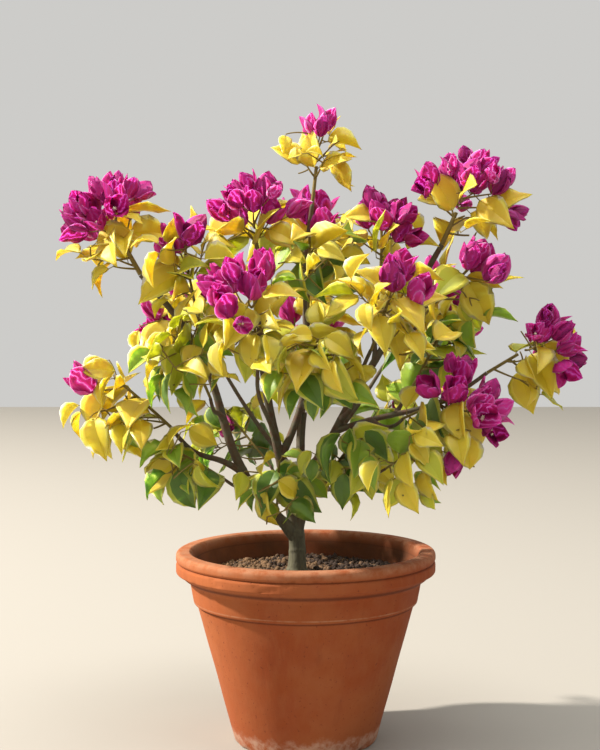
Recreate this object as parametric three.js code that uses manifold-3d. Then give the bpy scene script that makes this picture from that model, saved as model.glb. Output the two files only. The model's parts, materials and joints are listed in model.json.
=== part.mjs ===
// A bougainvillea bush in its terracotta garden pot.
// Millimetres, +Z up, +X to the bush's right, +Y to its back. The origin is the middle of the pot's
// underside. The trunk stands in the soil. Every bough is one tapering limb that ends where it enters the
// mass of foliage it carries, and every mass keeps to a space of its own: an ellipsoid, cut where it meets
// others.

import * as THREE from 'three';
import { mergeVertices } from 'three/addons/utils/BufferGeometryUtils.js';
import Module from 'manifold-3d';

const wasm = await Module();
wasm.setup();

// ---------------------------------------------------------------- driving dimensions

const GAP = 0.3; // between pieces that touch

const POT = {
  height: 221,
  footRadius: 82.2,
  footEdge: 3.5, // rounding of the foot
  batter: 0.272, // how far the wall leans out for each millimetre of height
  wallTop: 156, // where the plain wall ends and the collar steps out
  collarLow: 163.5,
  collarRadius: 129.7,
  collarTop: 184,
  collarTopRadius: 133.6,
  rimRadius: 150,
  rimLow: 198,
  grooveHeight: 208, // a groove parts the round lip above from the bead below
  grooveDepth: 2.4,
  rimShoulder: 216,
  lipRadius: 131.7,
  mouthHeight: 205, // where the inner wall turns out to the lip
  mouthRadius: 127,
  floor: 14,
  floorRadius: 72,
  facets: 32,
};

const SOIL = {
  level: 196, // top of the soil at the trunk
  footPatch: 27, // radius of the level patch that the trunk stands on
  rings: [27, 62, 95], // rings of clods between the level patch and the wall
  clod: 3.2, // how far the clods rise and fall
};

const TRUNK = {
  foot: [-10, 0],
  radius: 10.4,
  flare: 1.6, // extra radius at the soil
  fork: [-11, 0, 243],
  forkRadius: 9.2,
  sides: 11,
  segments: 7,
};

const LIMB = { sides: 5, stride: 27, taper: 0.45, tipRadius: 0.5 }; // stride: length of one straight piece
const STEM = { segments: 4, sides: 3, tipRadius: 1.5, reach: 0.45 }; // reach: how far up its space it runs
const TWIG = { rootRadius: 1.4, endRadius: 1.1 };
const LEAF = {
  length: 60,
  width: 42,
  widest: 0.46, // how far along it is widest
  fold: 0.13, // how far its sides are raised from its midrib
  droop: 0.1, // how far its tip falls
  core: 1.7, // thickness where the leaves of a sprig meet
  azimuths: [0, 1.85, -1.85],
};
const BLOOM = { height: 36, waist: 18, waistRadius: 15.5, tipRadius: 11, spread: 0.87, core: 1.6 };
const REACHES = [0.86, 0.74, 0.62, 0.5, 0.38]; // how far out in its space a sprig's end is tried
const FITS = [[1, 0], [0.86, 0.15], [0.74, 0.35], [0.64, 0.6]]; // a blade's share of its length, and its lean
const MARGIN = { mass: 4, sprig: 1, blade: 0.5, limb: 1.2 }; // kept inside a space's skin and off the limbs
const HEART = new THREE.Vector3(0, 0, 430); // middle of the crown

const COLOURS = {
  terracotta: 0xc06a3f,
  soil: 0x4a372a,
  bark: 0x7d7562,
  youngBark: 0x84703f,
  leaf: [0x9fae2c, 0x7f9c2b, 0xb9b52e, 0x5f8a2c],
};

// Each spray is a mass of foliage with the bough that carries it: the bough's parent and where along it the
// bough leaves, the bough's radius at its root, how it bows and sways on its way, the mass's middle and half
// sizes, how many sprigs it is given the chance to grow and how many of them bloom.
const SPRAYS = [
  { name: 'upper_left', parent: 'trunk', along: 0.86, girth: 6.2, bow: [2, -6, -6], sway: [-15, -8, 0],
    middle: [-212, -45, 584], half: [70, 70, 82], shoots: 16, blooms: 8 },
  { name: 'upper_mid_left', parent: 'trunk', along: 0.9, girth: 6.4, bow: [-10, 0, 0], sway: [2, 4, 0],
    middle: [-60, -35, 590], half: [74, 70, 68], shoots: 14, blooms: 7 },
  { name: 'upper_far_right', parent: 'trunk', along: 0.92, girth: 6, bow: [-12, 8, 0], sway: [-4, 0, 0],
    middle: [176, -30, 616], half: [80, 72, 72], shoots: 16, blooms: 8 },
  { name: 'back_centre', parent: 'trunk', along: 0.88, girth: 5.4, bow: [0, 16, -8], sway: [5, 0, 0],
    middle: [5, 166, 450], half: [88, 84, 84], shoots: 13, blooms: 3 },
  { name: 'leader', parent: 'upper_mid_left', along: 0.3, girth: 4.6, bow: [13, 4, 0], sway: [8, 0, 0],
    middle: [15, 0, 678], half: [48, 46, 70], shoots: 15, blooms: 3 },
  { name: 'left_low', parent: 'upper_left', along: 0.26, girth: 3.8, bow: [0, -6, -6], sway: [0, 0, 5],
    middle: [-196, -54, 396], half: [82, 72, 72], shoots: 14, blooms: 1 },
  { name: 'lower_left', parent: 'upper_left', along: 0.19, girth: 2.6, bow: [0, -8, -3], sway: [0, 0, 0],
    middle: [-138, -72, 332], half: [60, 62, 64], shoots: 10, blooms: 0 },
  { name: 'mid_left', parent: 'upper_left', along: 0.48, girth: 3.2, bow: [0, -10, -4], sway: [0, 0, 3],
    middle: [-132, -92, 446], half: [78, 74, 72], shoots: 15, blooms: 0 },
  { name: 'upper_left_inner', parent: 'upper_left', along: 0.66, girth: 3, bow: [6, -6, 0], sway: [0, 0, 3],
    middle: [-130, -68, 546], half: [72, 74, 74], shoots: 12, blooms: 3 },
  { name: 'mid_front', parent: 'upper_mid_left', along: 0.38, girth: 3.2, bow: [-4, -8, -8], sway: [3, 0, 0],
    middle: [-60, -144, 490], half: [74, 74, 76], shoots: 15, blooms: 5 },
  { name: 'centre_top', parent: 'leader', along: 0.42, girth: 2.8, bow: [0, -8, 0], sway: [0, 0, 2],
    middle: [4, -62, 550], half: [66, 64, 72], shoots: 11, blooms: 1 },
  { name: 'centre_front', parent: 'leader', along: 0.2, girth: 3, bow: [2, -6, -5], sway: [0, 0, 3],
    middle: [10, -138, 444], half: [74, 72, 68], shoots: 15, blooms: 0 },
  { name: 'upper_right', parent: 'upper_far_right', along: 0.6, girth: 3, bow: [-3, 0, 0], sway: [2, 0, 0],
    middle: [84, -22, 570], half: [74, 72, 72], shoots: 14, blooms: 5 },
  { name: 'right_mid', parent: 'upper_far_right', along: 0.64, girth: 2.8, bow: [4, -4, -4], sway: [0, 3, 0],
    middle: [174, -60, 526], half: [72, 70, 70], shoots: 13, blooms: 4 },
  { name: 'front_right', parent: 'upper_far_right', along: 0.4, girth: 3.4, bow: [0, -10, -8],
    sway: [3, 0, 0], middle: [86, -146, 498], half: [76, 74, 76], shoots: 14, blooms: 3 },
  { name: 'far_right', parent: 'upper_far_right', along: 0.36, girth: 3.8, bow: [0, -4, -10], sway: [0, 0, 4],
    middle: [259, -28, 447], half: [76, 66, 64], shoots: 13, blooms: 5 },
  { name: 'right_centre', parent: 'far_right', along: 0.4, girth: 2.8, bow: [0, 4, 0], sway: [0, 0, 0],
    middle: [150, 12, 450], half: [74, 72, 68], shoots: 10, blooms: 0 },
  { name: 'lower_right', parent: 'far_right', along: 0.24, girth: 3, bow: [0, -8, -8], sway: [0, 3, 0],
    middle: [150, -114, 382], half: [80, 76, 74], shoots: 15, blooms: 6 },
  { name: 'low_right', parent: 'upper_far_right', along: 0.14, girth: 3, bow: [4, -4, -5], sway: [0, 0, 2],
    middle: [52, -80, 336], half: [64, 64, 68], shoots: 10, blooms: 0 },
  { name: 'low_front_right', parent: 'low_right', along: 0.45, girth: 2.2, bow: [0, -4, -4], sway: [0, 0, 0],
    middle: [104, -150, 338], half: [58, 58, 66], shoots: 10, blooms: 0 },
  { name: 'low_front', parent: 'upper_left', along: 0.09, girth: 2.6, bow: [0, -6, -2], sway: [0, 0, 0],
    middle: [-30, -68, 310], half: [60, 60, 60], shoots: 12, blooms: 0 },
  { name: 'back_left', parent: 'back_centre', along: 0.42, girth: 3.6, bow: [0, 8, -8], sway: [0, 4, 0],
    middle: [-138, 106, 474], half: [90, 86, 84], shoots: 14, blooms: 5 },
  { name: 'back_right', parent: 'back_centre', along: 0.46, girth: 3.6, bow: [0, 8, -8], sway: [0, 4, 0],
    middle: [142, 114, 490], half: [88, 84, 84], shoots: 14, blooms: 5 },
  { name: 'back_top', parent: 'leader', along: 0.34, girth: 3.2, bow: [0, 8, -4], sway: [3, 0, 0],
    middle: [2, 100, 578], half: [84, 80, 76], shoots: 12, blooms: 5 },
  { name: 'back_low_left', parent: 'back_centre', along: 0.28, girth: 2.6, bow: [0, 4, -4], sway: [0, 0, 2],
    middle: [-86, 102, 350], half: [72, 72, 68], shoots: 11, blooms: 1 },
  { name: 'back_low_right', parent: 'back_centre', along: 0.32, girth: 2.6, bow: [0, 4, -4], sway: [0, 0, 2],
    middle: [94, 108, 358], half: [72, 72, 68], shoots: 11, blooms: 1 },
];

// Dead ends of boughs that were pruned long ago.
const STUBS = [
  { parent: 'upper_far_right', along: 0.12, tip: [-1, 2, 380], bow: [-4, 0, 0], girth: 3.4, endRadius: 3 },
  { parent: 'trunk', along: 0.72, tip: [-27, -9, 254], bow: [-1, 0, -2], girth: 4.6, endRadius: 4.2 },
];

// ---------------------------------------------------------------- small helpers

const GOLDEN_ANGLE = Math.PI * (3 - Math.sqrt(5));
const UP = new THREE.Vector3(0, 0, 1);
const vector = ([x, y, z]) => new THREE.Vector3(x, y, z);
const clamp = THREE.MathUtils.clamp;

// Even random numbers from 0 to 1, the same ones for the same seed.
function seeded(seed) {
  let state = seed * 7919 + 17;
  return () => {
    state = (state * 16807) % 2147483647;
    return state / 2147483647;
  };
}

function blend(...weighted) {
  const sum = new THREE.Vector3();
  weighted.forEach(([part, weight]) => sum.addScaledVector(part, weight));
  return sum.normalize();
}

// ---------------------------------------------------------------- from meshes to solids and back

function solidOf(geometry) {
  const bare = geometry.clone();
  bare.deleteAttribute('normal');
  bare.deleteAttribute('uv');
  const merged = mergeVertices(bare, 1e-4);
  return new wasm.Manifold(new wasm.Mesh({
    numProp: 3,
    vertProperties: new Float32Array(merged.attributes.position.array),
    triVerts: new Uint32Array(merged.index.array),
  }));
}

function geometryOf(solid) {
  const { vertProperties, triVerts } = solid.getMesh();
  const geometry = new THREE.BufferGeometry();
  geometry.setAttribute('position', new THREE.BufferAttribute(vertProperties, 3));
  geometry.setIndex(new THREE.BufferAttribute(triVerts, 1));
  geometry.computeVertexNormals();
  return geometry;
}

function surface(corners, triangles) {
  const geometry = new THREE.BufferGeometry();
  const values = corners.flatMap((corner) => corner.toArray());
  geometry.setAttribute('position', new THREE.Float32BufferAttribute(values, 3));
  geometry.setIndex(triangles.flat());
  return geometry;
}

// The largest body of a solid: scraps and the walls of sealed hollows are left behind.
function largestBody(solid) {
  return solid.decompose().reduce((best, body) => (body.volume() > best.volume() ? body : best));
}

// ---------------------------------------------------------------- paths and limbs

// A path from start to end that bows to one side and sways once on its way.
function path(start, end, bow, sway) {
  return (t) => start.clone().lerp(end, t)
    .addScaledVector(bow, 4 * t * (1 - t))
    .addScaledVector(sway, Math.sin(2 * Math.PI * t));
}

function sample(curve, count) {
  return Array.from({ length: count + 1 }, (_, i) => curve(i / count));
}

// A closed rod along a row of points, with a radius at each of them.
function rod(points, radii, sides) {
  const last = points.length - 1;
  const corners = [];
  const triangles = [];
  const across = new THREE.Vector3(0.31, 0.95, 0.02);
  points.forEach((point, i) => {
    const ahead = points[Math.min(i + 1, last)].clone().sub(points[Math.max(i - 1, 0)]).normalize();
    across.addScaledVector(ahead, -across.dot(ahead)).normalize();
    const over = ahead.clone().cross(across);
    for (let side = 0; side < sides; side += 1) {
      const angle = (2 * Math.PI * side) / sides;
      corners.push(point.clone()
        .addScaledVector(across, radii[i] * Math.cos(angle))
        .addScaledVector(over, radii[i] * Math.sin(angle)));
    }
  });
  for (let i = 0; i < last; i += 1) {
    for (let side = 0; side < sides; side += 1) {
      const here = i * sides + side;
      const next = i * sides + ((side + 1) % sides);
      triangles.push([here, next, next + sides], [here, next + sides, here + sides]);
    }
  }
  for (let side = 1; side < sides - 1; side += 1) {
    triangles.push([0, side + 1, side], [last * sides, last * sides + side, last * sides + side + 1]);
  }
  return surface(corners, triangles);
}

// Makes a rod set out in a given direction, so that its end lies square to that.
function startAlong(points, radii, direction) {
  const firstStep = 1.5;
  points.splice(1, 0, points[0].clone().addScaledVector(direction, firstStep));
  radii.splice(1, 0, radii[0]);
}

function taper(from, to, count) {
  return Array.from({ length: count + 1 }, (_, i) => from + ((to - from) * i) / count);
}

function makeLimb(name, curve, from, to, segments, sides) {
  const points = sample(curve, segments);
  const radii = taper(from, to, segments);
  return { name, curve, from, to, points, radii, sides };
}

// The point on a limb, with the radius there.
function placeOn(limb, along) {
  return { point: limb.curve(along), radius: limb.from + (limb.to - limb.from) * along };
}

// ---------------------------------------------------------------- spaces of the masses

// How far a point is past the middle plane between two masses' spaces: the larger mass has the wider share.
function pastPlane(spray, other, point) {
  const apart = spray.centre.distanceTo(other.centre);
  const here = point.distanceToSquared(spray.centre) - spray.share;
  const there = point.distanceToSquared(other.centre) - other.share;
  return (here - there) / (2 * apart);
}

function inside(spray, point, margin) {
  const offset = point.clone().sub(spray.centre);
  const reach = Math.hypot(...offset.toArray().map((d, axis) => d / (spray.half[axis] - margin)));
  return reach < 1 && spray.neighbours.every((other) => pastPlane(spray, other, point) < -margin);
}

// On the way from a place in a space towards a point: the last place that still lies inside.
function lastInside(spray, from, towards, margin) {
  const steps = 60;
  let found = from;
  for (let i = 1; i <= steps; i += 1) {
    const point = from.clone().lerp(towards, i / steps);
    if (!inside(spray, point, margin)) break;
    found = point;
  }
  return found;
}

SPRAYS.forEach((spray, i) => {
  spray.seed = i + 1;
  spray.centre = vector(spray.middle);
  spray.halves = vector(spray.half);
  spray.share = (spray.half.reduce((sum, half) => sum + half, 0) / 3) ** 2;
});
SPRAYS.forEach((spray) => {
  spray.neighbours = SPRAYS.filter((other) => other !== spray);
});

// ---------------------------------------------------------------- trunk and boughs

const trunkFoot = new THREE.Vector3(...TRUNK.foot, SOIL.level + GAP);
const trunkTop = vector(TRUNK.fork);
const trunkCurve = path(trunkFoot, trunkTop, new THREE.Vector3(1, 0, 0), new THREE.Vector3());
const trunk = makeLimb('trunk', trunkCurve, TRUNK.radius, TRUNK.forkRadius, TRUNK.segments, TRUNK.sides);
trunk.radii = trunk.radii.map((radius, i) => radius + TRUNK.flare * Math.exp(-1.4 * i));
startAlong(trunk.points, trunk.radii, UP); // so that its foot is cut level
const limbs = { trunk };

SPRAYS.forEach((spray) => {
  const root = placeOn(limbs[spray.parent], spray.along);
  const end = lastInside(spray, spray.centre, root.point, MARGIN.mass);
  const segments = Math.max(4, Math.round(root.point.distanceTo(end) / LIMB.stride));
  const curve = path(root.point, end, vector(spray.bow), vector(spray.sway));
  const tipRadius = LIMB.taper * spray.girth + LIMB.tipRadius;
  limbs[spray.name] = makeLimb(`bough_${spray.name}`, curve, spray.girth, tipRadius, segments, LIMB.sides);
});

STUBS.forEach((stub, i) => {
  const root = placeOn(limbs[stub.parent], stub.along);
  const curve = path(root.point, vector(stub.tip), vector(stub.bow), new THREE.Vector3());
  limbs[`stub_${i + 1}`] = makeLimb(`pruned_stub_${i + 1}`, curve, stub.girth, stub.endRadius, 4, LIMB.sides);
});

// Points along every limb, close enough together to stand for it when a twig or leaf is kept clear.
const limbPoints = Object.entries(limbs).flatMap(([name, limb]) => {
  const steps = limb.points.slice(1).map((point, i) => point.distanceTo(limb.points[i]));
  const count = Math.ceil(steps.reduce((sum, step) => sum + step) / 3);
  return Array.from({ length: count + 1 }, (_, i) => ({ name, ...placeOn(limb, i / count) }));
});

// ---------------------------------------------------------------- sprigs: a twig with leaves or a bloom

// Frame round a twig's end: azimuth 0 hangs down from it.
function frameRound(axis) {
  const down = new THREE.Vector3(0.05, 0.08, -1);
  down.addScaledVector(axis, -down.dot(axis)).normalize();
  return { axis, down, beside: axis.clone().cross(down) };
}

const around = ({ down, beside }, azimuth) => down.clone().multiplyScalar(Math.cos(azimuth))
  .addScaledVector(beside, Math.sin(azimuth));

// A leaf's outline: a side, the tip and the other side. A positive tilt leans forward along the twig.
function leafOutline(root, frame, azimuth, tilt, length) {
  const heading = blend([around(frame, azimuth), Math.cos(tilt)], [frame.axis, Math.sin(tilt)]);
  const width = (LEAF.width / LEAF.length) * length;
  const side = frame.axis.clone().cross(heading).normalize();
  const normal = heading.clone().cross(side);
  const waist = root.clone().addScaledVector(heading, LEAF.widest * length)
    .addScaledVector(normal, LEAF.fold * width);
  return [
    waist.clone().addScaledVector(side, -width / 2),
    root.clone().addScaledVector(heading, length).addScaledVector(normal, -LEAF.droop * length),
    waist.clone().addScaledVector(side, width / 2),
  ];
}

// A bract's outline: three of them stand round the twig's end as a papery cup, open at the top.
function bractOutline(root, frame, azimuth, size) {
  const place = (angle, radius, height) => root.clone()
    .addScaledVector(around(frame, angle), radius * size).addScaledVector(frame.axis, height * size);
  return [
    place(azimuth - BLOOM.spread, BLOOM.waistRadius, BLOOM.waist),
    place(azimuth, BLOOM.tipRadius, BLOOM.height),
    place(azimuth + BLOOM.spread, BLOOM.waistRadius, BLOOM.waist),
  ];
}

// A three-sided twig whose end opens into three blades. A blade that is null is left out, and webbed
// blades are joined to each other near their roots.
function sprigGeometry({ start, end, frame, azimuths, blades }, core, webbed) {
  const corners = [];
  const crotches = azimuths.map((azimuth, i) => {
    const next = azimuths[(i + 1) % 3];
    return azimuth + THREE.MathUtils.euclideanModulo(next - azimuth, 2 * Math.PI) / 2;
  });
  [[start, TWIG.rootRadius], [end, TWIG.endRadius]].forEach(([point, radius]) => {
    crotches.forEach((angle) => corners.push(point.clone().addScaledVector(around(frame, angle), radius)));
  });
  const upper = corners.push(end.clone().addScaledVector(frame.axis, core)) - 1;
  const triangles = [[0, 2, 1]];
  const firstSide = {};
  const lastSide = {};
  blades.forEach((blade, i) => {
    const before = 3 + ((i + 2) % 3);
    const after = 3 + i;
    triangles.push([before - 3, after - 3, after], [before - 3, after, before]);
    if (!blade) {
      triangles.push([upper, before, after]);
      return;
    }
    const early = corners.push(...blade) - 3;
    const [tip, late] = [early + 1, early + 2];
    firstSide[i] = early;
    lastSide[i] = late;
    triangles.push([upper, early, tip], [upper, tip, late]);
    triangles.push([before, tip, early], [before, after, tip], [after, late, tip]);
    if (!webbed) triangles.push([upper, before, early], [upper, late, after]);
  });
  if (webbed) {
    blades.forEach((_, i) => {
      const next = (i + 1) % 3;
      triangles.push([upper, lastSide[i], firstSide[next]], [3 + i, firstSide[next], lastSide[i]]);
    });
  }
  return surface(corners, triangles);
}

// The faces of a blade as seen from its root, for keeping it clear of what grows nearby.
const facesOf = (root, ring) => ring.slice(1).map((corner, i) => new THREE.Triangle(root, ring[i], corner));

function clearOfLimbs(limbsNear, faces, margin) {
  const closest = new THREE.Vector3();
  return limbsNear.every(({ point, radius }) => faces.every((face) => {
    face.closestPointToPoint(point, closest);
    return closest.distanceTo(point) > radius + margin;
  }));
}

function rodIsClear(limbsNear, points, radius) {
  const closest = new THREE.Vector3();
  return limbsNear.every((limb) => points.slice(1).every((point, i) => {
    new THREE.Line3(points[i], point).closestPointToPoint(limb.point, true, closest);
    return closest.distanceTo(limb.point) > limb.radius + radius + GAP;
  }));
}

// True where an edge of one face passes through the other.
function pierces(face, other) {
  const corners = [face.a, face.b, face.c];
  return corners.some((corner, i) => {
    const edge = corners[(i + 1) % 3].clone().sub(corner);
    const ray = new THREE.Ray(corner, edge.clone().normalize());
    const hit = ray.intersectTriangle(other.a, other.b, other.c, false, new THREE.Vector3());
    return hit !== null && hit.distanceTo(corner) < edge.length();
  });
}

function fits(spray, site, root, ring) {
  const faces = facesOf(root, ring);
  const crosses = (other) => faces.some((face) => pierces(face, other) || pierces(other, face));
  return !site.faces.some(crosses)
    && ring.every((corner) => inside(spray, corner, MARGIN.blade))
    && clearOfLimbs(site.limbs, faces, MARGIN.limb);
}

// ---------------------------------------------------------------- masses of foliage

// Even directions all round a ball.
function directionOf(index, count) {
  const height = 1 - (2 * (index + 0.5)) / count;
  const level = Math.sqrt(1 - height * height);
  const turn = index * GOLDEN_ANGLE;
  return new THREE.Vector3(level * Math.cos(turn), level * Math.sin(turn), height);
}

// The stem of a mass goes on from its bough, through the middle of its space and up.
function stemOf(spray) {
  const [before, tip] = limbs[spray.name].points.slice(-2);
  const ahead = tip.clone().sub(before).normalize();
  const root = tip.clone().addScaledVector(ahead, GAP);
  const onward = blend([spray.centre.clone().sub(root).normalize(), 1], [UP, 0.7]);
  const beyond = spray.centre.clone().addScaledVector(onward, Math.max(...spray.half));
  const top = spray.centre.clone().lerp(lastInside(spray, spray.centre, beyond, MARGIN.mass), STEM.reach);
  const bend = ahead.clone().multiplyScalar(0.1 * root.distanceTo(top));
  return { root, top, ahead, curve: path(root, top, bend, new THREE.Vector3()) };
}

// The outlines of a blade, from the one it would like to have to the smallest it makes do with.
function outlinesOf(end, frame, azimuth, i, chances, blooming) {
  return FITS.map(([share, lean]) => {
    if (blooming) return bractOutline(end, frame, azimuth, share * (0.95 + 0.2 * chances[1]));
    const turn = 0.5 * (chances[3 + i] - 0.5);
    const tilt = 0.6 * chances[6 + i] - 0.1 + lean;
    return leafOutline(end, frame, azimuth + turn, tilt, share * LEAF.length * (0.86 + 0.3 * chances[i]));
  });
}

// One sprig, tried with its end far out in its space and nearer in, and kept where most of it fits.
function growSprig(spray, site, stem, direction, blooming, draw) {
  const chances = Array.from({ length: 9 }, () => draw());
  const furthest = spray.centre.clone().add(direction.clone().multiply(spray.halves));
  const edge = lastInside(spray, spray.centre, furthest, MARGIN.sprig);
  const thirds = [0, 2, 4].map((third) => (third * Math.PI) / 3 + 2 * chances[0]);
  const azimuths = blooming ? thirds : LEAF.azimuths;
  const fewest = blooming ? 3 : 2;
  let best = null;
  REACHES.forEach((reach) => {
    const end = spray.centre.clone().lerp(edge, reach);
    const forward = end.clone().sub(stem.root).dot(stem.axis) / stem.axis.lengthSq();
    const start = stem.curve(clamp(forward - 0.3, 0.06, 0.96));
    if (start.distanceTo(end) < 8 || !rodIsClear(site.limbs, [start, end], TWIG.rootRadius)) return;
    const frame = frameRound(end.clone().sub(start).normalize());
    const blades = azimuths.map((azimuth, i) => {
      const outlines = outlinesOf(end, frame, azimuth, i, chances, blooming);
      return outlines.find((outline) => fits(spray, site, end, outline)) ?? null;
    });
    const grown = blades.filter(Boolean);
    if (grown.length < fewest) return;
    const score = grown.reduce((sum, ring) => sum + ring[1].distanceTo(end) / LEAF.length, reach);
    if (score > (best?.score ?? 0)) best = { start, end, frame, azimuths, blades, grown, score };
  });
  return best;
}

// The directions in which a mass sends out its sprigs: all round, but for the crown's shaded inside. The
// sprigs that face the light come first, and bloom first.
function directionsOf(spray) {
  const outward = spray.centre.clone().sub(HEART).normalize();
  const facing = blend([outward, 1], [UP, 0.6]);
  return Array.from({ length: spray.shoots }, (_, k) => directionOf(k, spray.shoots))
    .filter((direction) => direction.dot(outward) > -0.45)
    .sort((a, b) => b.dot(facing) - a.dot(facing));
}

function growMass(spray) {
  const draw = seeded(spray.seed);
  const reach = Math.max(...spray.half) + 12;
  const limbsNear = limbPoints.filter(({ point }) => point.distanceTo(spray.centre) < reach);
  const stem = stemOf(spray);
  stem.axis = stem.top.clone().sub(stem.root);
  const points = sample(stem.curve, STEM.segments);
  const radii = taper(limbs[spray.name].to - 0.2, STEM.tipRadius, STEM.segments);
  const others = limbsNear.filter(({ name }) => name !== spray.name);
  if (!rodIsClear(others, points, radii[0])) throw new Error(`the stem of ${spray.name} touches a bough`);
  startAlong(points, radii, stem.ahead);
  const pieces = [solidOf(rod(points, radii, STEM.sides))];

  const site = { limbs: limbsNear, faces: [] };
  directionsOf(spray).forEach((direction, k) => {
    const blooming = k < spray.blooms;
    const sprig = growSprig(spray, site, stem, direction, blooming, draw);
    if (!sprig) return;
    site.faces.push(...sprig.grown.flatMap((ring) => facesOf(sprig.end, ring)));
    pieces.push(solidOf(sprigGeometry(sprig, blooming ? BLOOM.core : LEAF.core, blooming)));
  });
  return largestBody(wasm.Manifold.union(pieces));
}

// ---------------------------------------------------------------- pot and soil

function arc(centreRadius, centreHeight, radius, fromDegrees, toDegrees, steps) {
  return Array.from({ length: steps + 1 }, (_, i) => {
    const angle = THREE.MathUtils.degToRad(fromDegrees + ((toDegrees - fromDegrees) * i) / steps);
    const [across, up] = [Math.cos(angle), Math.sin(angle)];
    return new THREE.Vector2(centreRadius + radius * across, centreHeight + radius * up);
  });
}

function potProfile() {
  const wallRadius = (height) => POT.footRadius + POT.batter * height;
  const lipRound = (POT.height - POT.rimShoulder);
  return [
    new THREE.Vector2(0, 0),
    ...arc(POT.footRadius - POT.footEdge + 0.8, POT.footEdge, POT.footEdge, -90, -10, 2),
    new THREE.Vector2(wallRadius(POT.wallTop), POT.wallTop),
    new THREE.Vector2(POT.collarRadius, POT.collarLow),
    new THREE.Vector2(POT.collarTopRadius, POT.collarTop),
    new THREE.Vector2(POT.rimRadius - 8, POT.rimLow - 6),
    new THREE.Vector2(POT.rimRadius - 1.2, POT.rimLow),
    new THREE.Vector2(POT.rimRadius - 0.4, POT.grooveHeight - 2.2),
    new THREE.Vector2(POT.rimRadius - POT.grooveDepth, POT.grooveHeight),
    new THREE.Vector2(POT.rimRadius, POT.grooveHeight + 2.4),
    ...arc(POT.rimRadius - lipRound, POT.rimShoulder, lipRound, 0, 90, 3),
    new THREE.Vector2(POT.lipRadius + 3, POT.height),
    new THREE.Vector2(POT.lipRadius, POT.height - 2.5),
    new THREE.Vector2(POT.mouthRadius, POT.mouthHeight),
    new THREE.Vector2(POT.floorRadius + 3, POT.floor + 6),
    new THREE.Vector2(POT.floorRadius - 4, POT.floor),
    new THREE.Vector2(0, POT.floor),
  ];
}

// The pot stands upright: a lathe turns about Y, so its axis is turned to Z.
function turned(profile, facets) {
  const lathe = new THREE.LatheGeometry(profile, facets);
  lathe.rotateX(Math.PI / 2);
  lathe.deleteAttribute('normal');
  lathe.deleteAttribute('uv');
  return lathe;
}

function soilGeometry() {
  const slope = (POT.mouthRadius - POT.floorRadius - 3) / (POT.mouthHeight - POT.floor - 6);
  const edge = POT.floorRadius + 3 + slope * (SOIL.level - POT.floor - 6) - 2 * GAP;
  const profile = [
    new THREE.Vector2(0, POT.floor + GAP),
    new THREE.Vector2(POT.floorRadius - 5, POT.floor + GAP),
    new THREE.Vector2(POT.floorRadius + 2, POT.floor + 6 + GAP),
    new THREE.Vector2(edge, SOIL.level),
    ...[...SOIL.rings].reverse().map((radius) => new THREE.Vector2(radius, SOIL.level)),
    new THREE.Vector2(0, SOIL.level),
  ];
  const soil = turned(profile, POT.facets);
  const position = soil.attributes.position;
  for (let i = 0; i < position.count; i += 1) {
    const [x, y, z] = [position.getX(i), position.getY(i), position.getZ(i)];
    const radius = Math.hypot(x, y);
    if (z > SOIL.level - 1 && radius > SOIL.footPatch + 1 && radius < edge - 1) {
      const clods = Math.sin(0.13 * x + 1.1) * Math.cos(0.11 * y - 0.4) + 0.5 * Math.sin(0.29 * x - 0.23 * y);
      position.setZ(i, z - 1.5 + SOIL.clod * clods);
    }
  }
  return soil;
}

// ---------------------------------------------------------------- assembly

const group = new THREE.Group();

function addMesh(name, geometry, color, roughness) {
  const mesh = new THREE.Mesh(geometry, new THREE.MeshStandardMaterial({ color, roughness, metalness: 0 }));
  mesh.name = name;
  group.add(mesh);
}

addMesh('pot', geometryOf(solidOf(turned(potProfile(), POT.facets))), COLOURS.terracotta, 0.85);
addMesh('soil', geometryOf(solidOf(soilGeometry())), COLOURS.soil, 1);

// Limbs are made in order from the trunk, and each is cut clear of those made before it.
const earlier = [];
Object.values(limbs).forEach((limb) => {
  const whole = solidOf(rod(limb.points, limb.radii, limb.sides));
  const clear = earlier.reduce((left, other) => left.subtract(other), whole);
  earlier.push(solidOf(rod(limb.points, limb.radii.map((radius) => radius + GAP), limb.sides)));
  const colour = limb.name.startsWith('bough') ? COLOURS.youngBark : COLOURS.bark;
  addMesh(limb.name, geometryOf(largestBody(clear)), colour, 0.9);
});

SPRAYS.forEach((spray, i) => {
  addMesh(`foliage_${spray.name}`, geometryOf(growMass(spray)), COLOURS.leaf[i % COLOURS.leaf.length], 0.6);
});

export default group;
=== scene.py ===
"""A bougainvillea bush in its terracotta pot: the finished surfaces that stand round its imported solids.

The plant's own rule works in millimetres, as its solids were made, and its meshes are brought to metres at
the end. +Z is up, +X is the bush's right and +Y its back.
"""

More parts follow.
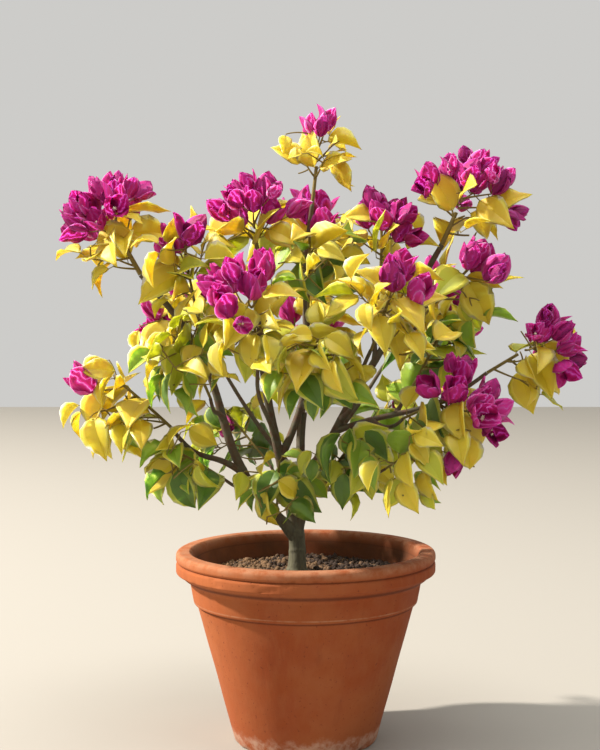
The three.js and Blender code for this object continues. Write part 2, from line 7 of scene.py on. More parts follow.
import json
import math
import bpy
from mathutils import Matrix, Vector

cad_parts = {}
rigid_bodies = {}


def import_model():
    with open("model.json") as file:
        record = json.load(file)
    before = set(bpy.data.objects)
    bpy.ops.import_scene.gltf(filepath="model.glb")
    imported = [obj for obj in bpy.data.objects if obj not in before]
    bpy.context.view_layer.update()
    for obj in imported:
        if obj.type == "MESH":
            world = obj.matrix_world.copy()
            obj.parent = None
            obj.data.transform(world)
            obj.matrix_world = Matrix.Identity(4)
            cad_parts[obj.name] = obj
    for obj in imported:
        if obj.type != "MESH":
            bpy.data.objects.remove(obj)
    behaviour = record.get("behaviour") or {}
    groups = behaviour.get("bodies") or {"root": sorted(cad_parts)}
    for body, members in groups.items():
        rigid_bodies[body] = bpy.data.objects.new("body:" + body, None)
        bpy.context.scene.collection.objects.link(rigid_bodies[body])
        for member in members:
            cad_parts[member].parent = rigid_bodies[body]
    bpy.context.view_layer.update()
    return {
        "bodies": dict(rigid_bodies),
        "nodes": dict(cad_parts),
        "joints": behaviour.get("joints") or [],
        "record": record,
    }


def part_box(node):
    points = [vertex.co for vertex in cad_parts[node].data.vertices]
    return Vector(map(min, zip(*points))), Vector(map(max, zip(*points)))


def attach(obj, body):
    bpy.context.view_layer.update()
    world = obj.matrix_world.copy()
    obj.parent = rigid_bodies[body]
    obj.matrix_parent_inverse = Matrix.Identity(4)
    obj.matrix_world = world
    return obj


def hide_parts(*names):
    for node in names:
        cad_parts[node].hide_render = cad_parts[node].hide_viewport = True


bl_info = {
    "name": "Potted bougainvillea",
    "version": (1, 0, 0),
    "blender": (4, 5, 0),
    "location": "View3D > Sidebar > Bush",
    "description": "Makes the pot, soil, bark, twigs, leaves and blossom of a bougainvillea bush",
    "category": "Object",
}

from dataclasses import dataclass, field
from functools import lru_cache
from itertools import pairwise, product

import bmesh
import bpy
from bpy.props import FloatProperty, FloatVectorProperty, IntProperty, PointerProperty
from mathutils import Matrix, Vector, noise
from mathutils.geometry import closest_point_on_tri, intersect_point_line, intersect_ray_tri

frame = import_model()
POT_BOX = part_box("pot")
SOIL_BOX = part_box("soil")
LIMB_NODES = [name for name in frame["nodes"] if name.startswith(("trunk", "bough_", "pruned_"))]
MASS_NODES = [name for name in frame["nodes"] if name.startswith("foliage_")]

MM = 0.001
WALL_LEAN = 0.272  # how far the pot's wall leans out for each step up
UP = Vector((0, 0, 1))
GOLDEN_ANGLE = math.pi * (3 - math.sqrt(5))


# ---------------------------------------------------------------------------- settings


def length(name, description, default):
    return FloatProperty(
        name=name, description=description, default=default, min=0, unit="LENGTH", precision=4
    )


def colour(name, description, hex_code):
    return FloatVectorProperty(
        name=name, description=description, default=from_hex(hex_code), size=3, min=0, max=1, subtype="COLOR"
    )


def from_hex(hex_code):
    """The linear colour of a six-digit code."""
    channels = [int(hex_code[i : i + 2], 16) / 255 for i in (0, 2, 4)]
    return tuple(c / 12.92 if c <= 0.04045 else ((c + 0.055) / 1.055) ** 2.4 for c in channels)


class PotSettings(bpy.types.PropertyGroup):
    """The pot and the soil in it"""

    height: length("Height", "From the floor to the top of the rim", POT_BOX[1].z)
    rim_radius: length("Rim radius", "From the pot's axis to the outside of its rim", POT_BOX[1].x)
    chip_depth: length("Chip depth", "How deep the knocks on the rim are", 1.5 * MM)
    clay: colour("Clay", "Main colour of the fired clay", "914420")
    pale_clay: colour("Pale clay", "Where the clay is dry or rubbed", "9A552F")
    # Painted light: paler clay on the side that faces the key lamp, standing in for its light.
    painted_sunlight_clay: colour("Painted sunlight on clay", "Clay painted lighter on the side that faces the sun", "BC6C3C")
    # Painted shade: a dark colour laid in the creases under the rim and the collar, standing in for their shadow.
    painted_crease_shade: colour("Painted crease shade", "Painted shade in the creases under the rim and the collar", "4E2413")
    # Partly real wear and partly a painted highlight on the edges.
    worn_clay_and_highlight: colour("Worn clay and painted highlight", "Dusty worn edges and painted highlights", "B98A6A")
    dark_clay: colour("Dark clay", "Where water has stained the clay", "773820")
    damp_clay: colour("Damp clay", "Stained clay on the inside of the wall", "54351F")
    salt: colour("Salt bloom", "White bloom round the foot and on the rim", "BE9A84")
    soil_level: length("Soil level", "Height of the soil at the trunk", SOIL_BOX[1].z - 3 * MM)
    soil: colour("Soil", "Damp soil between the crumbs", "35261C")
    crumb: colour("Crumbs", "Dry crumbs on top of the soil", "785C40")
    crumb_size: length("Crumb size", "Radius of a middling crumb", 2.9 * MM)
    crumb_spacing: length("Crumb spacing", "Least distance between crumbs", 4.8 * MM)


class WoodSettings(bpy.types.PropertyGroup):
    """The trunk, boughs and twigs"""

    relief: length("Bark relief", "Height of the ridges on the trunk", 0.4 * MM)
    bark: colour("Bark", "Old bark on the trunk", "68654E")
    fissure: colour("Fissures", "Dark lines between the ridges", "5A5644")
    young_bark: colour("Young bark", "Bark of the boughs", "5D4433")
    twig: colour("Twigs", "Green wood of this year's twigs", "7C6B2C")


class LeafSettings(bpy.types.PropertyGroup):
    """The leaves, from the shaded ones inside the crown to the young ones at its tips"""

    length: length("Length", "Length of a full-grown leaf", 60 * MM)
    thickness: FloatProperty(name="Thickness", description="Share of the length", default=0.012, min=0.005)
    deep: colour("Shaded leaf", "Old leaves inside the crown", "567326")
    deep_rim: colour("Shaded leaf's edge", "Edge of those leaves", "A2AA3A")
    green: colour("Green leaf", "Leaves low on the bush", "829E30")
    green_rim: colour("Green leaf's edge", "Yellow edge of those leaves", "BAB538")
    lime: colour("Lime leaf", "Leaves half way up", "ACB030")
    lime_rim: colour("Lime leaf's edge", "Edge of those leaves", "C8C03E")
    yellow: colour("Yellow leaf", "Leaves in full light", "C8B430")
    yellow_rim: colour("Yellow leaf's edge", "Edge of those leaves", "D2C046")
    gold: colour("Golden leaf", "Young leaves near the tips", "D4B834")
    gold_rim: colour("Golden leaf's edge", "Edge of those leaves", "DAC24C")


class BlossomSettings(bpy.types.PropertyGroup):
    """The coloured bracts and the small flowers in them"""

    length: length("Bract length", "Length of a full-grown bract", 38 * MM)
    deep: colour("Deep bract", "Bracts in their prime", "A61A70")
    deep_rim: colour("Deep bract's edge", "Edge of those bracts", "B22E7E")
    bright: colour("Bright bract", "Newly opened bracts", "B6287E")
    bright_rim: colour("Bright bract's edge", "Edge of those bracts", "C64692")
    dark: colour("Dark bract", "Buds and bracts that begin to fade", "88145A")
    dark_rim: colour("Dark bract's edge", "Edge of those bracts", "98286C")
    tube: colour("Flower tube", "Tube of the small flower", "B25A6E")
    star: colour("Flower star", "Mouth of the small flower", "F3E7C8")


class BushSettings(bpy.types.PropertyGroup):
    """Everything that can be set on the bush"""

    pot: PointerProperty(type=PotSettings, name="Pot")
    wood: PointerProperty(type=WoodSettings, name="Wood")
    leaf: PointerProperty(type=LeafSettings, name="Leaves")
    blossom: PointerProperty(type=BlossomSettings, name="Blossom")
    seed: IntProperty(name="Seed", description="Changes the finer twigs and the leaves", default=5, min=1)


# ---------------------------------------------------------------------------- plant's rule, in millimetres

GAP = 0.3  # between parts that come close but don't touch
SOIL_LEVEL = 196
WAY_STEPS = 60  # steps in which the way out of a space is searched
LIMB_STEP = 3  # between the points that stand for a limb
TRUNK = {
    "foot": (-10, 0),
    "fork": (-11, 0, 243),
    "bow": (1, 0, 0),
    "radius": 10.4,
    "flare": 1.6,
    "fork_radius": 9.2,
    "segments": 7,
}
LIMB = {"stride": 27, "fewest": 4, "taper": 0.45, "tip_radius": 0.5}
STEM = {"tip_radius": 1.5, "reach": 0.45, "rise": 0.7, "bow": 0.1}
SPRIG = {"root": 1.4, "tip": 0.8, "shortest": 8, "back": 0.3, "starts": (0.06, 0.96)}
FEWEST = {"leaves": 2, "bracts": 3}  # without which a sprig isn't kept
LEAF = {"length": 60, "width": 42, "widest": 0.46, "fold": 0.13, "droop": 0.1, "azimuths": (0, 1.85, -1.85)}
BLOOM = {"height": 36, "waist": 18, "waist_radius": 15.5, "tip_radius": 11, "spread": 0.87}
REACHES = (0.86, 0.74, 0.62, 0.5, 0.38)  # shares of the way out at which a sprig is tried
FITS = ((1, 0), (0.86, 0.15), (0.74, 0.35), (0.64, 0.6))  # sizes and leans at which its blades are tried
MARGIN = {"mass": 4, "sprig": 1, "blade": 0.5, "limb": 1.2}
HEART = Vector((0, 0, 430))  # the middle of the whole crown
CROWN_HALVES = Vector((300, 225, 290))  # half sizes of the whole crown round its heart


@dataclass
class Spray:
    """A mass of foliage and the bough that carries it, as in the solids, and how ripe its leaves are."""

    name: str
    parent: str
    along: float
    girth: float
    bow: tuple
    sway: tuple
    middle: tuple
    half: tuple
    shoots: int
    blooms: int
    ripeness: float  # from 0 for deep green to 1 for gold
    seed: int = 0
    centre: Vector = None
    share: float = 0
    neighbours: list = field(default_factory=list)


# Each row's values stand in the order of Spray's.
SPRAY_ROWS = [
    ("upper_left", "trunk", 0.86, 6.2, (2, -6, -6), (-15, -8, 0), (-212, -45, 584), (70, 70, 82), 16, 8, 0.8),
    ("upper_mid_left", "trunk", 0.9, 6.4, (-10, 0, 0), (2, 4, 0), (-60, -35, 590), (74, 70, 68), 14, 7, 0.88),
    ("upper_far_right", "trunk", 0.92, 6, (-12, 8, 0), (-4, 0, 0), (176, -30, 616), (80, 72, 72), 16, 8, 0.84),
    ("back_centre", "trunk", 0.88, 5.4, (0, 16, -8), (5, 0, 0), (5, 166, 450), (88, 84, 84), 13, 3, 0.62),
    ("leader", "upper_mid_left", 0.3, 4.6, (13, 4, 0), (8, 0, 0), (15, 0, 678), (48, 46, 70), 15, 3, 1),
    ("left_low", "upper_left", 0.26, 3.8, (0, -6, -6), (0, 0, 5), (-196, -54, 396), (82, 72, 72), 14, 1, 0.85),
    ("lower_left", "upper_left", 0.19, 2.6, (0, -8, -3), (0, 0, 0), (-138, -72, 332), (60, 62, 64), 10, 0, 0.56),
    ("mid_left", "upper_left", 0.48, 3.2, (0, -10, -4), (0, 0, 3), (-132, -92, 446), (78, 74, 72), 15, 0, 0.62),
    ("upper_left_inner", "upper_left", 0.66, 3, (6, -6, 0), (0, 0, 3), (-130, -68, 546), (72, 74, 74), 12, 3, 0.74),
    ("mid_front", "upper_mid_left", 0.38, 3.2, (-4, -8, -8), (3, 0, 0), (-60, -144, 490), (74, 74, 76), 15, 5, 0.74),
    ("centre_top", "leader", 0.42, 2.8, (0, -8, 0), (0, 0, 2), (4, -62, 550), (66, 64, 72), 11, 1, 0.7),
    ("centre_front", "leader", 0.2, 3, (2, -6, -5), (0, 0, 3), (10, -138, 444), (74, 72, 68), 15, 0, 0.58),
    ("upper_right", "upper_far_right", 0.6, 3, (-3, 0, 0), (2, 0, 0), (84, -22, 570), (74, 72, 72), 14, 5, 0.78),
    ("right_mid", "upper_far_right", 0.64, 2.8, (4, -4, -4), (0, 3, 0), (174, -60, 526), (72, 70, 70), 13, 4, 0.68),
    ("front_right", "upper_far_right", 0.4, 3.4, (0, -10, -8), (3, 0, 0), (86, -146, 498), (76, 74, 76), 14, 3, 0.74),
    ("far_right", "upper_far_right", 0.36, 3.8, (0, -4, -10), (0, 0, 4), (259, -28, 447), (76, 66, 64), 13, 5, 0.7),
    ("right_centre", "far_right", 0.4, 2.8, (0, 4, 0), (0, 0, 0), (150, 12, 450), (74, 72, 68), 10, 0, 0.52),
    ("lower_right", "far_right", 0.24, 3, (0, -8, -8), (0, 3, 0), (150, -114, 382), (80, 76, 74), 15, 6, 0.66),
    ("low_right", "upper_far_right", 0.14, 3, (4, -4, -5), (0, 0, 2), (52, -80, 336), (64, 64, 68), 10, 0, 0.56),
    ("low_front_right", "low_right", 0.45, 2.2, (0, -4, -4), (0, 0, 0), (104, -150, 338), (58, 58, 66), 10, 0, 0.55),
    ("low_front", "upper_left", 0.09, 2.6, (0, -6, -2), (0, 0, 0), (-30, -68, 310), (60, 60, 60), 12, 0, 0.58),
    ("back_left", "back_centre", 0.42, 3.6, (0, 8, -8), (0, 4, 0), (-138, 106, 474), (90, 86, 84), 14, 5, 0.64),
    ("back_right", "back_centre", 0.46, 3.6, (0, 8, -8), (0, 4, 0), (142, 114, 490), (88, 84, 84), 14, 5, 0.66),
    ("back_top", "leader", 0.34, 3.2, (0, 8, -4), (3, 0, 0), (2, 100, 578), (84, 80, 76), 12, 5, 0.74),
    ("back_low_left", "back_centre", 0.28, 2.6, (0, 4, -4), (0, 0, 2), (-86, 102, 350), (72, 72, 68), 11, 1, 0.45),
    ("back_low_right", "back_centre", 0.32, 2.6, (0, 4, -4), (0, 0, 2), (94, 108, 358), (72, 72, 68), 11, 1, 0.45),
]
SPRAYS = [Spray(*row) for row in SPRAY_ROWS]

STUBS = [  # parent, along, tip, bow, girth, radius at the end
    ("upper_far_right", 0.12, (-1, 2, 380), (-4, 0, 0), 3.4, 3),
    ("trunk", 0.72, (-27, -9, 254), (-1, 0, -2), 4.6, 4.2),
]


def seeded(seed):
    """Even random numbers from 0 to 1, the same ones for the same seed."""
    state = seed * 7919 + 17

    def draw(low=0.0, high=1.0):
        nonlocal state
        state = (state * 16807) % 2147483647
        return low + (high - low) * state / 2147483647

    return draw


def clamp(value, low=0.0, high=1.0):
    return min(max(value, low), high)


def path(start, end, bow=Vector(), sway=Vector()):
    """A path from start to end that bows to one side and sways once on its way."""
    return lambda t: start.lerp(end, t) + bow * (4 * t * (1 - t)) + sway * math.sin(2 * math.pi * t)


def sample(curve, count):
    return [curve(i / count) for i in range(count + 1)]


def length_of(points):
    return sum((b - a).length for a, b in pairwise(points))


def square_to(axis, direction):
    """A direction with what lies along an axis taken out."""
    return (direction - axis * direction.dot(axis)).normalized()


@dataclass
class Limb:
    """The trunk, a bough or a stub: its centre line and its radius at both ends."""

    curve: object
    root_radius: float
    tip_radius: float
    segments: int

    def at(self, along):
        return self.curve(along), self.root_radius + (self.tip_radius - self.root_radius) * along

    @property
    def points(self):
        return sample(self.curve, self.segments)

    @property
    def length(self):
        return length_of(self.points)


def past_plane(spray, other, apart, point):
    """How far a point is past the middle plane between two masses' spaces: the larger has the wider share."""
    here = (point - spray.centre).length_squared - spray.share
    there = (point - other.centre).length_squared - other.share
    return (here - there) / (2 * apart)


def inside(spray, point, margin, mingling=0.0):
    """True if a point is in a mass's space. Mingling lets it stray that far among the neighbours' leaves."""
    offset = point - spray.centre
    if sum((d / (half - margin)) ** 2 for d, half in zip(offset, spray.half)) >= 1:
        return False
    return all(past_plane(spray, *other, point) < mingling - margin for other in spray.neighbours)


def last_inside(spray, start, towards, margin):
    """On the way from a place in a space towards a point: the last place that still lies inside."""
    found = start
    for i in range(1, WAY_STEPS + 1):
        point = start.lerp(towards, i / WAY_STEPS)
        if not inside(spray, point, margin):
            break
        found = point
    return found


def edge_of(spray, direction):
    """The last place inside a mass's space on the way out from its middle."""
    furthest = spray.centre + Vector([d * half for d, half in zip(direction, spray.half)])
    return last_inside(spray, spray.centre, furthest, MARGIN["sprig"])


def settle_spaces():
    """Works out every mass's space from its middle and half sizes."""
    furthest = 260  # masses whose middles are further apart never meet
    for i, spray in enumerate(SPRAYS):
        spray.seed = i + 1
        spray.centre = Vector(spray.middle)
        spray.share = (sum(spray.half) / 3) ** 2
    for spray in SPRAYS:
        apart = [(other, (other.centre - spray.centre).length) for other in SPRAYS if other is not spray]
        spray.neighbours = [(other, distance) for other, distance in apart if distance < furthest]


def grow_limbs():
    """The trunk, the boughs and the stubs by name, each from a place on its parent."""
    foot = Vector((*TRUNK["foot"], SOIL_LEVEL + GAP))
    curve = path(foot, Vector(TRUNK["fork"]), Vector(TRUNK["bow"]))
    limbs = {"trunk": Limb(curve, TRUNK["radius"], TRUNK["fork_radius"], TRUNK["segments"])}
    for spray in SPRAYS:
        root, _ = limbs[spray.parent].at(spray.along)
        end = last_inside(spray, spray.centre, root, MARGIN["mass"])
        segments = max(LIMB["fewest"], round((end - root).length / LIMB["stride"]))
        curve = path(root, end, Vector(spray.bow), Vector(spray.sway))
        tip_radius = LIMB["taper"] * spray.girth + LIMB["tip_radius"]
        limbs[spray.name] = Limb(curve, spray.girth, tip_radius, segments)
    for i, (parent, along, tip, bow, girth, end_radius) in enumerate(STUBS, 1):
        root, _ = limbs[parent].at(along)
        limbs[f"stub_{i}"] = Limb(path(root, Vector(tip), Vector(bow)), girth, end_radius, LIMB["fewest"])
    return limbs


def points_along(limbs):
    """Points along every limb, with its name and their radius, close enough together to stand for it."""
    return [
        (name, *place)
        for name, limb in limbs.items()
        for place in sample(limb.at, math.ceil(limb.length / LIMB_STEP))
    ]


@dataclass
class Frame:
    """Directions round a twig's end: azimuth 0 hangs down from it."""

    axis: Vector

    def __post_init__(self):
        self.down = square_to(self.axis, Vector((0.05, 0.08, -1)))
        self.beside = self.axis.cross(self.down)

    def around(self, azimuth):
        return self.down * math.cos(azimuth) + self.beside * math.sin(azimuth)


def leaf_outline(root, frame, azimuth, tilt, size):
    """A side, the tip and the other side of one of the solids' leaves."""
    heading = (frame.around(azimuth) * math.cos(tilt) + frame.axis * math.sin(tilt)).normalized()
    width = LEAF["width"] / LEAF["length"] * size
    side = frame.axis.cross(heading).normalized()
    normal = heading.cross(side)
    waist = root + heading * (LEAF["widest"] * size) + normal * (LEAF["fold"] * width)
    tip = root + heading * size - normal * (LEAF["droop"] * size)
    return [waist - side * (width / 2), tip, waist + side * (width / 2)]


def bract_outline(root, frame, azimuth, size):
    """A side, the tip and the other side of one of the solids' bracts."""

    def place(angle, radius, height):
        return root + frame.around(angle) * (radius * size) + frame.axis * (height * size)

    return [
        place(azimuth - BLOOM["spread"], BLOOM["waist_radius"], BLOOM["waist"]),
        place(azimuth, BLOOM["tip_radius"], BLOOM["height"]),
        place(azimuth + BLOOM["spread"], BLOOM["waist_radius"], BLOOM["waist"]),
    ]


def faces_of(root, ring):
    """The faces of a leaf or bract of the solids, from its root to each stretch of its outline."""
    return [(root, a, b) for a, b in pairwise(ring)]


def clear_of_limbs(near, faces, margin):
    """True if the faces keep that far off every limb's surface."""
    return all(
        (closest_point_on_tri(point, *face) - point).length > radius + margin
        for _, point, radius in near
        for face in faces
    )


def rod_is_clear(near, points, radius):
    """True if a rod along points keeps off every limb."""
    for _, place, limb_radius in near:
        for a, b in pairwise(points):
            closest, share = intersect_point_line(place, a, b)
            closest = a if share < 0 else b if share > 1 else closest
            if (closest - place).length <= limb_radius + radius + GAP:
                return False
    return True


def pierces(face, other):
    """True where an edge of one face passes through the other."""
    for a, b in zip(face, face[1:] + face[:1]):
        edge = b - a
        hit = intersect_ray_tri(*other, edge, a, True)
        if hit is not None and (hit - a).length < edge.length:
            return True
    return False


def fits(spray, near, grown_faces, root, ring):
    """True if a leaf or bract stays in its space, off the limbs and off what has grown."""
    faces = faces_of(root, ring)
    if any(pierces(face, other) or pierces(other, face) for other in grown_faces for face in faces):
        return False
    within = all(inside(spray, corner, MARGIN["blade"]) for corner in ring)
    return within and clear_of_limbs(near, faces, MARGIN["limb"])


def direction_of(index, count):
    """Even directions all round a ball."""
    height = 1 - 2 * (index + 0.5) / count
    level = math.sqrt(1 - height * height)
    turn = index * GOLDEN_ANGLE
    return Vector((level * math.cos(turn), level * math.sin(turn), height))


def outward_of(spray):
    return (spray.centre - HEART).normalized()


def directions_of(spray, count):
    """The directions of a mass's twigs, the best lit first, and none into the crown's inside."""
    inmost, rise = -0.45, 0.6
    outward = outward_of(spray)
    facing = (outward + UP * rise).normalized()
    kept = [d for d in (direction_of(k, count) for k in range(count)) if d.dot(outward) > inmost]
    return sorted(kept, key=lambda d: -d.dot(facing))


@dataclass
class Stem:
    """The stem of a mass goes on from its bough, through the middle of its space and up."""

    spray: Spray
    bough: Limb

    def __post_init__(self):
        before, tip = self.bough.points[-2:]
        ahead = (tip - before).normalized()
        centre = self.spray.centre
        self.root = tip + ahead * GAP
        onward = ((centre - self.root).normalized() + UP * STEM["rise"]).normalized()
        beyond = last_inside(self.spray, centre, centre + onward * max(self.spray.half), MARGIN["mass"])
        top = centre.lerp(beyond, STEM["reach"])
        self.axis = top - self.root
        self.curve = path(self.root, top, ahead * (STEM["bow"] * self.axis.length))
        self.root_radius = self.bough.tip_radius - 0.2


@dataclass
class Sprig:
    """A twig of the solids, which ends in leaves or in a bloom."""

    start: Vector
    end: Vector
    blades: list
    blooming: bool


def outlines_of(end, frame, azimuth, i, chances, blooming):
    """The outlines that a sprig's leaf or bract can have, from the largest to the smallest."""
    for share, lean in FITS:
        if blooming:
            yield bract_outline(end, frame, azimuth, share * (0.95 + 0.2 * chances[1]))
        else:
            turn = 0.5 * (chances[3 + i] - 0.5)
            tilt = 0.6 * chances[6 + i] - 0.1 + lean
            size = share * LEAF["length"] * (0.86 + 0.3 * chances[i])
            yield leaf_outline(end, frame, azimuth + turn, tilt, size)


def grow_sprig(spray, near, grown_faces, stem, direction, blooming, draw):
    """One sprig, tried with its end far out in its space and nearer in, and kept where most of it fits."""
    chances = [draw() for _ in range(9)]
    edge = edge_of(spray, direction)
    thirds = [third * math.pi / 3 + 2 * chances[0] for third in (0, 2, 4)]
    azimuths = thirds if blooming else LEAF["azimuths"]
    best, best_score = None, 0
    for reach in REACHES:
        end = spray.centre.lerp(edge, reach)
        forward = (end - stem.root).dot(stem.axis) / stem.axis.length_squared
        start = stem.curve(clamp(forward - SPRIG["back"], *SPRIG["starts"]))
        if (end - start).length < SPRIG["shortest"] or not rod_is_clear(near, [start, end], SPRIG["root"]):
            continue
        frame = Frame((end - start).normalized())
        blades = []
        for i, azimuth in enumerate(azimuths):
            outlines = outlines_of(end, frame, azimuth, i, chances, blooming)
            fitting = (ring for ring in outlines if fits(spray, near, grown_faces, end, ring))
            blades.append(next(fitting, None))
        grown = [ring for ring in blades if ring]
        if len(grown) < FEWEST["bracts" if blooming else "leaves"]:
            continue
        score = reach + sum((ring[1] - end).length / LEAF["length"] for ring in grown)
        if score > best_score:
            best, best_score = Sprig(start, end, grown, blooming), score
    return best


def grow_sprigs(spray, near, stem):
    """The sprigs of a mass, as its solid has them."""
    draw = seeded(spray.seed)
    sprigs, grown_faces = [], []
    for k, direction in enumerate(directions_of(spray, spray.shoots)):
        sprig = grow_sprig(spray, near, grown_faces, stem, direction, k < spray.blooms, draw)
        if sprig:
            sprigs.append(sprig)
            grown_faces += [face for ring in sprig.blades for face in faces_of(sprig.end, ring)]
    return sprigs


# ---------------------------------------------------------------------------- finer twigs, leaves and bracts

SHOWY = {"share": 0.37, "out": 100}  # blooms crowd where this share of shoots bloom, so far from the axis
FINER = {"directions": 22, "spacing": 17, "longest": 66, "shortest": 12, "reach": (0.35, 0.96)}
ROOM = {"usual": 74 * 72 * 70, "shares": (0.75, 1.25)}  # a mass with more room grows more twigs
THICKET = {"higher": 0.35, "inner": 0.9, "out": 180}  # twigs thin out upwards and thicken towards the axis
AIRY = {  # masses with fewer twigs than most
    "left_low": 1.5,
    "right_mid": 1.35,
    "front_right": 1.3,
    "upper_mid_left": 1.3,
    "mid_left": 1.15,
}
TWIG = {"root": 1.25, "tip": 0.7, "petiole": 0.5}  # radii
FINER_GIRTH = 0.8  # of the solids' twigs
POINTS = {"stem": 10, "sprig": 8, "twig": 6, "pedicel": 3, "petiole": 2}  # stretches along each kind of wood
PETIOLE = {"length": 8, "shares": (0.7, 1.2), "bend": 1.2}
BARE = {"stem": 0.35, "twig": 0.25}  # the share of a stem or a twig that has no leaves
LEAVES_TO = {"sprig": 0.75, "twig": 0.7}  # how far along the leaves go where a bloom ends it
LEAF_STEP = 36  # between leaves along a twig
LEAF_SPACING = 0.48  # least distance between two leaves' middles, as a share of their length
LEAF_SHARES = (1, 0.9, 0.8)  # sizes at which a leaf is tried where there is little room
STRAY = (-12, 6)  # how far leaves stop short of the edge of their space, or stray past it
MINGLING = 13  # how far leaves stray into a neighbour's space
LIGHT = Vector((-0.45, -0.45, 0.77)).normalized()  # towards the light that the leaves turn to
BLOOM_ROOM = 0.56  # least distance from a leaf to the middle of a cup, as a share of the cup's length
BEHIND = (0, 16, 32)  # how far inwards from a leaf no cup may be, so that none is covered
NEAR_BLOOM = {"distance": 30, "reach": 0.6}  # finer twigs this near a bloom and this far out bloom too
CUP_SPACING = 0.78  # least distance between the middles of two cups, as a share of their length
CUP_SHARES = (1, 0.86, 0.74)  # sizes at which a cup is tried
CUP = {"tip": 0.96, "girth": 0.3, "lean": (0.06, 0.42), "sway": 0.09, "turn": 0.15, "foot": 0.05}
END_CUP = {"rise": (0.5, 1.3), "share": (0.94, 1.08)}
SIDE_CUP = {
    "turn": 2.3,
    "onward": (0.2, 0.8),
    "out": 0.7,
    "rise": (0.3, 1),
    "away": (12, 24),
    "share": (0.74, 1),
}
FLORET = {"fewer_than": 3, "lean": (0.08, 0.25), "share": (0.7, 0.9)}
LEAF_SIZE = {"share": 1.08, "less": 0.36, "chance": (0.84, 1.16)}  # less towards its twig's tip
LEAF_POSE = {"turn": 0.7, "droop": (-0.35, 0.5), "low_droop": 0.55, "roll": (-1.1, 1.1)}
LOW = (140, 200)  # leaves start to hang more this far over the crown's heart, and hang most so much lower
YOUNG_CUPS = (640, 60, 0.2)  # from this height on, over that much more, the topmost are smaller by that share
YOUNG_LEAVES = (620, 50, 0.3)
TINTS = ("deep", "green", "lime", "yellow", "gold")
TINT_LIMITS = (0.3, 0.45, 0.6, 0.78)  # ripeness at which one tint gives way to the next
RIPENING = {"light": 0.85, "height": 0.1, "level": 0.24, "along": 0.15, "chance": (-0.3, 0.27)}
BRACT_TINTS = ("deep", "bright", "dark")
BRACT_TINT_LIMITS = (0.55, 0.83)  # chance at which one tint gives way to the next
LEAF_FORMS = (  # fold along the midrib, arch, twist and wave
    (0.3, 0.75, 0.1, 0.02),
    (0.5, 1.1, -0.25, 0.03),
    (0.15, 0.4, 0.25, 0.035),
    (0.8, 0.8, -0.1, 0.02),
    (0.35, 1.4, 0.3, 0.03),
)
BRACT_FORMS = ((0.13, 0.1, 11), (0.09, 0.18, 12), (0.16, 0.0, 13), (0.12, -0.1, 14))  # hollow, flare and seed


@dataclass
class Twig:
    points: list
    radii: list

    def cut(self, along):
        """Cuts the twig back to that share of its points."""
        kept = max(2, math.ceil(along * (len(self.points) - 1)) + 1)
        self.points, self.radii = self.points[:kept], self.radii[:kept]


@dataclass
class Blade:
    """A leaf, a bract or a small flower: where it starts, where it points and where its face looks."""

    base: Vector
    heading: Vector
    normal: Vector
    size: float
    tint: str
    shape: int


@dataclass
class Cup:
    """Three bracts that stand as a papery cup round small flowers."""

    base: Vector
    axis: Vector
    size: float

    @property
    def middle(self):
        return self.base + self.axis * (0.5 * self.size)


class Crowd:
    """Places that are taken, so that leaves keep a little apart and off the blossom."""

    cell = 26  # side of the cells that the places are sorted into

    def __init__(self):
        self.cells = {}

    def key(self, point):
        return tuple(math.floor(c / self.cell) for c in point)

    def near(self, point):
        for cell in product(*((c - 1, c, c + 1) for c in self.key(point))):
            yield from self.cells.get(cell, ())

    def is_free(self, point, distance):
        return all((other - point).length > distance for other in self.near(point))

    def take(self, point):
        self.cells.setdefault(self.key(point), []).append(point)


def exposure_of(point):
    """0 in the heart of the crown, 1 at its outside."""
    return clamp(Vector([d / half for d, half in zip(point - HEART, CROWN_HALVES)]).length)


def height_in_crown(point):
    """-1 at the foot of the crown, 1 at its top."""
    return clamp((point.z - HEART.z) / CROWN_HALVES.z, -1, 1)


def youth_share(point, young):
    """1, and less for what is youngest and smallest, at the very top."""
    height, more, share = young
    return 1 - share * clamp((point.z - height) / more)


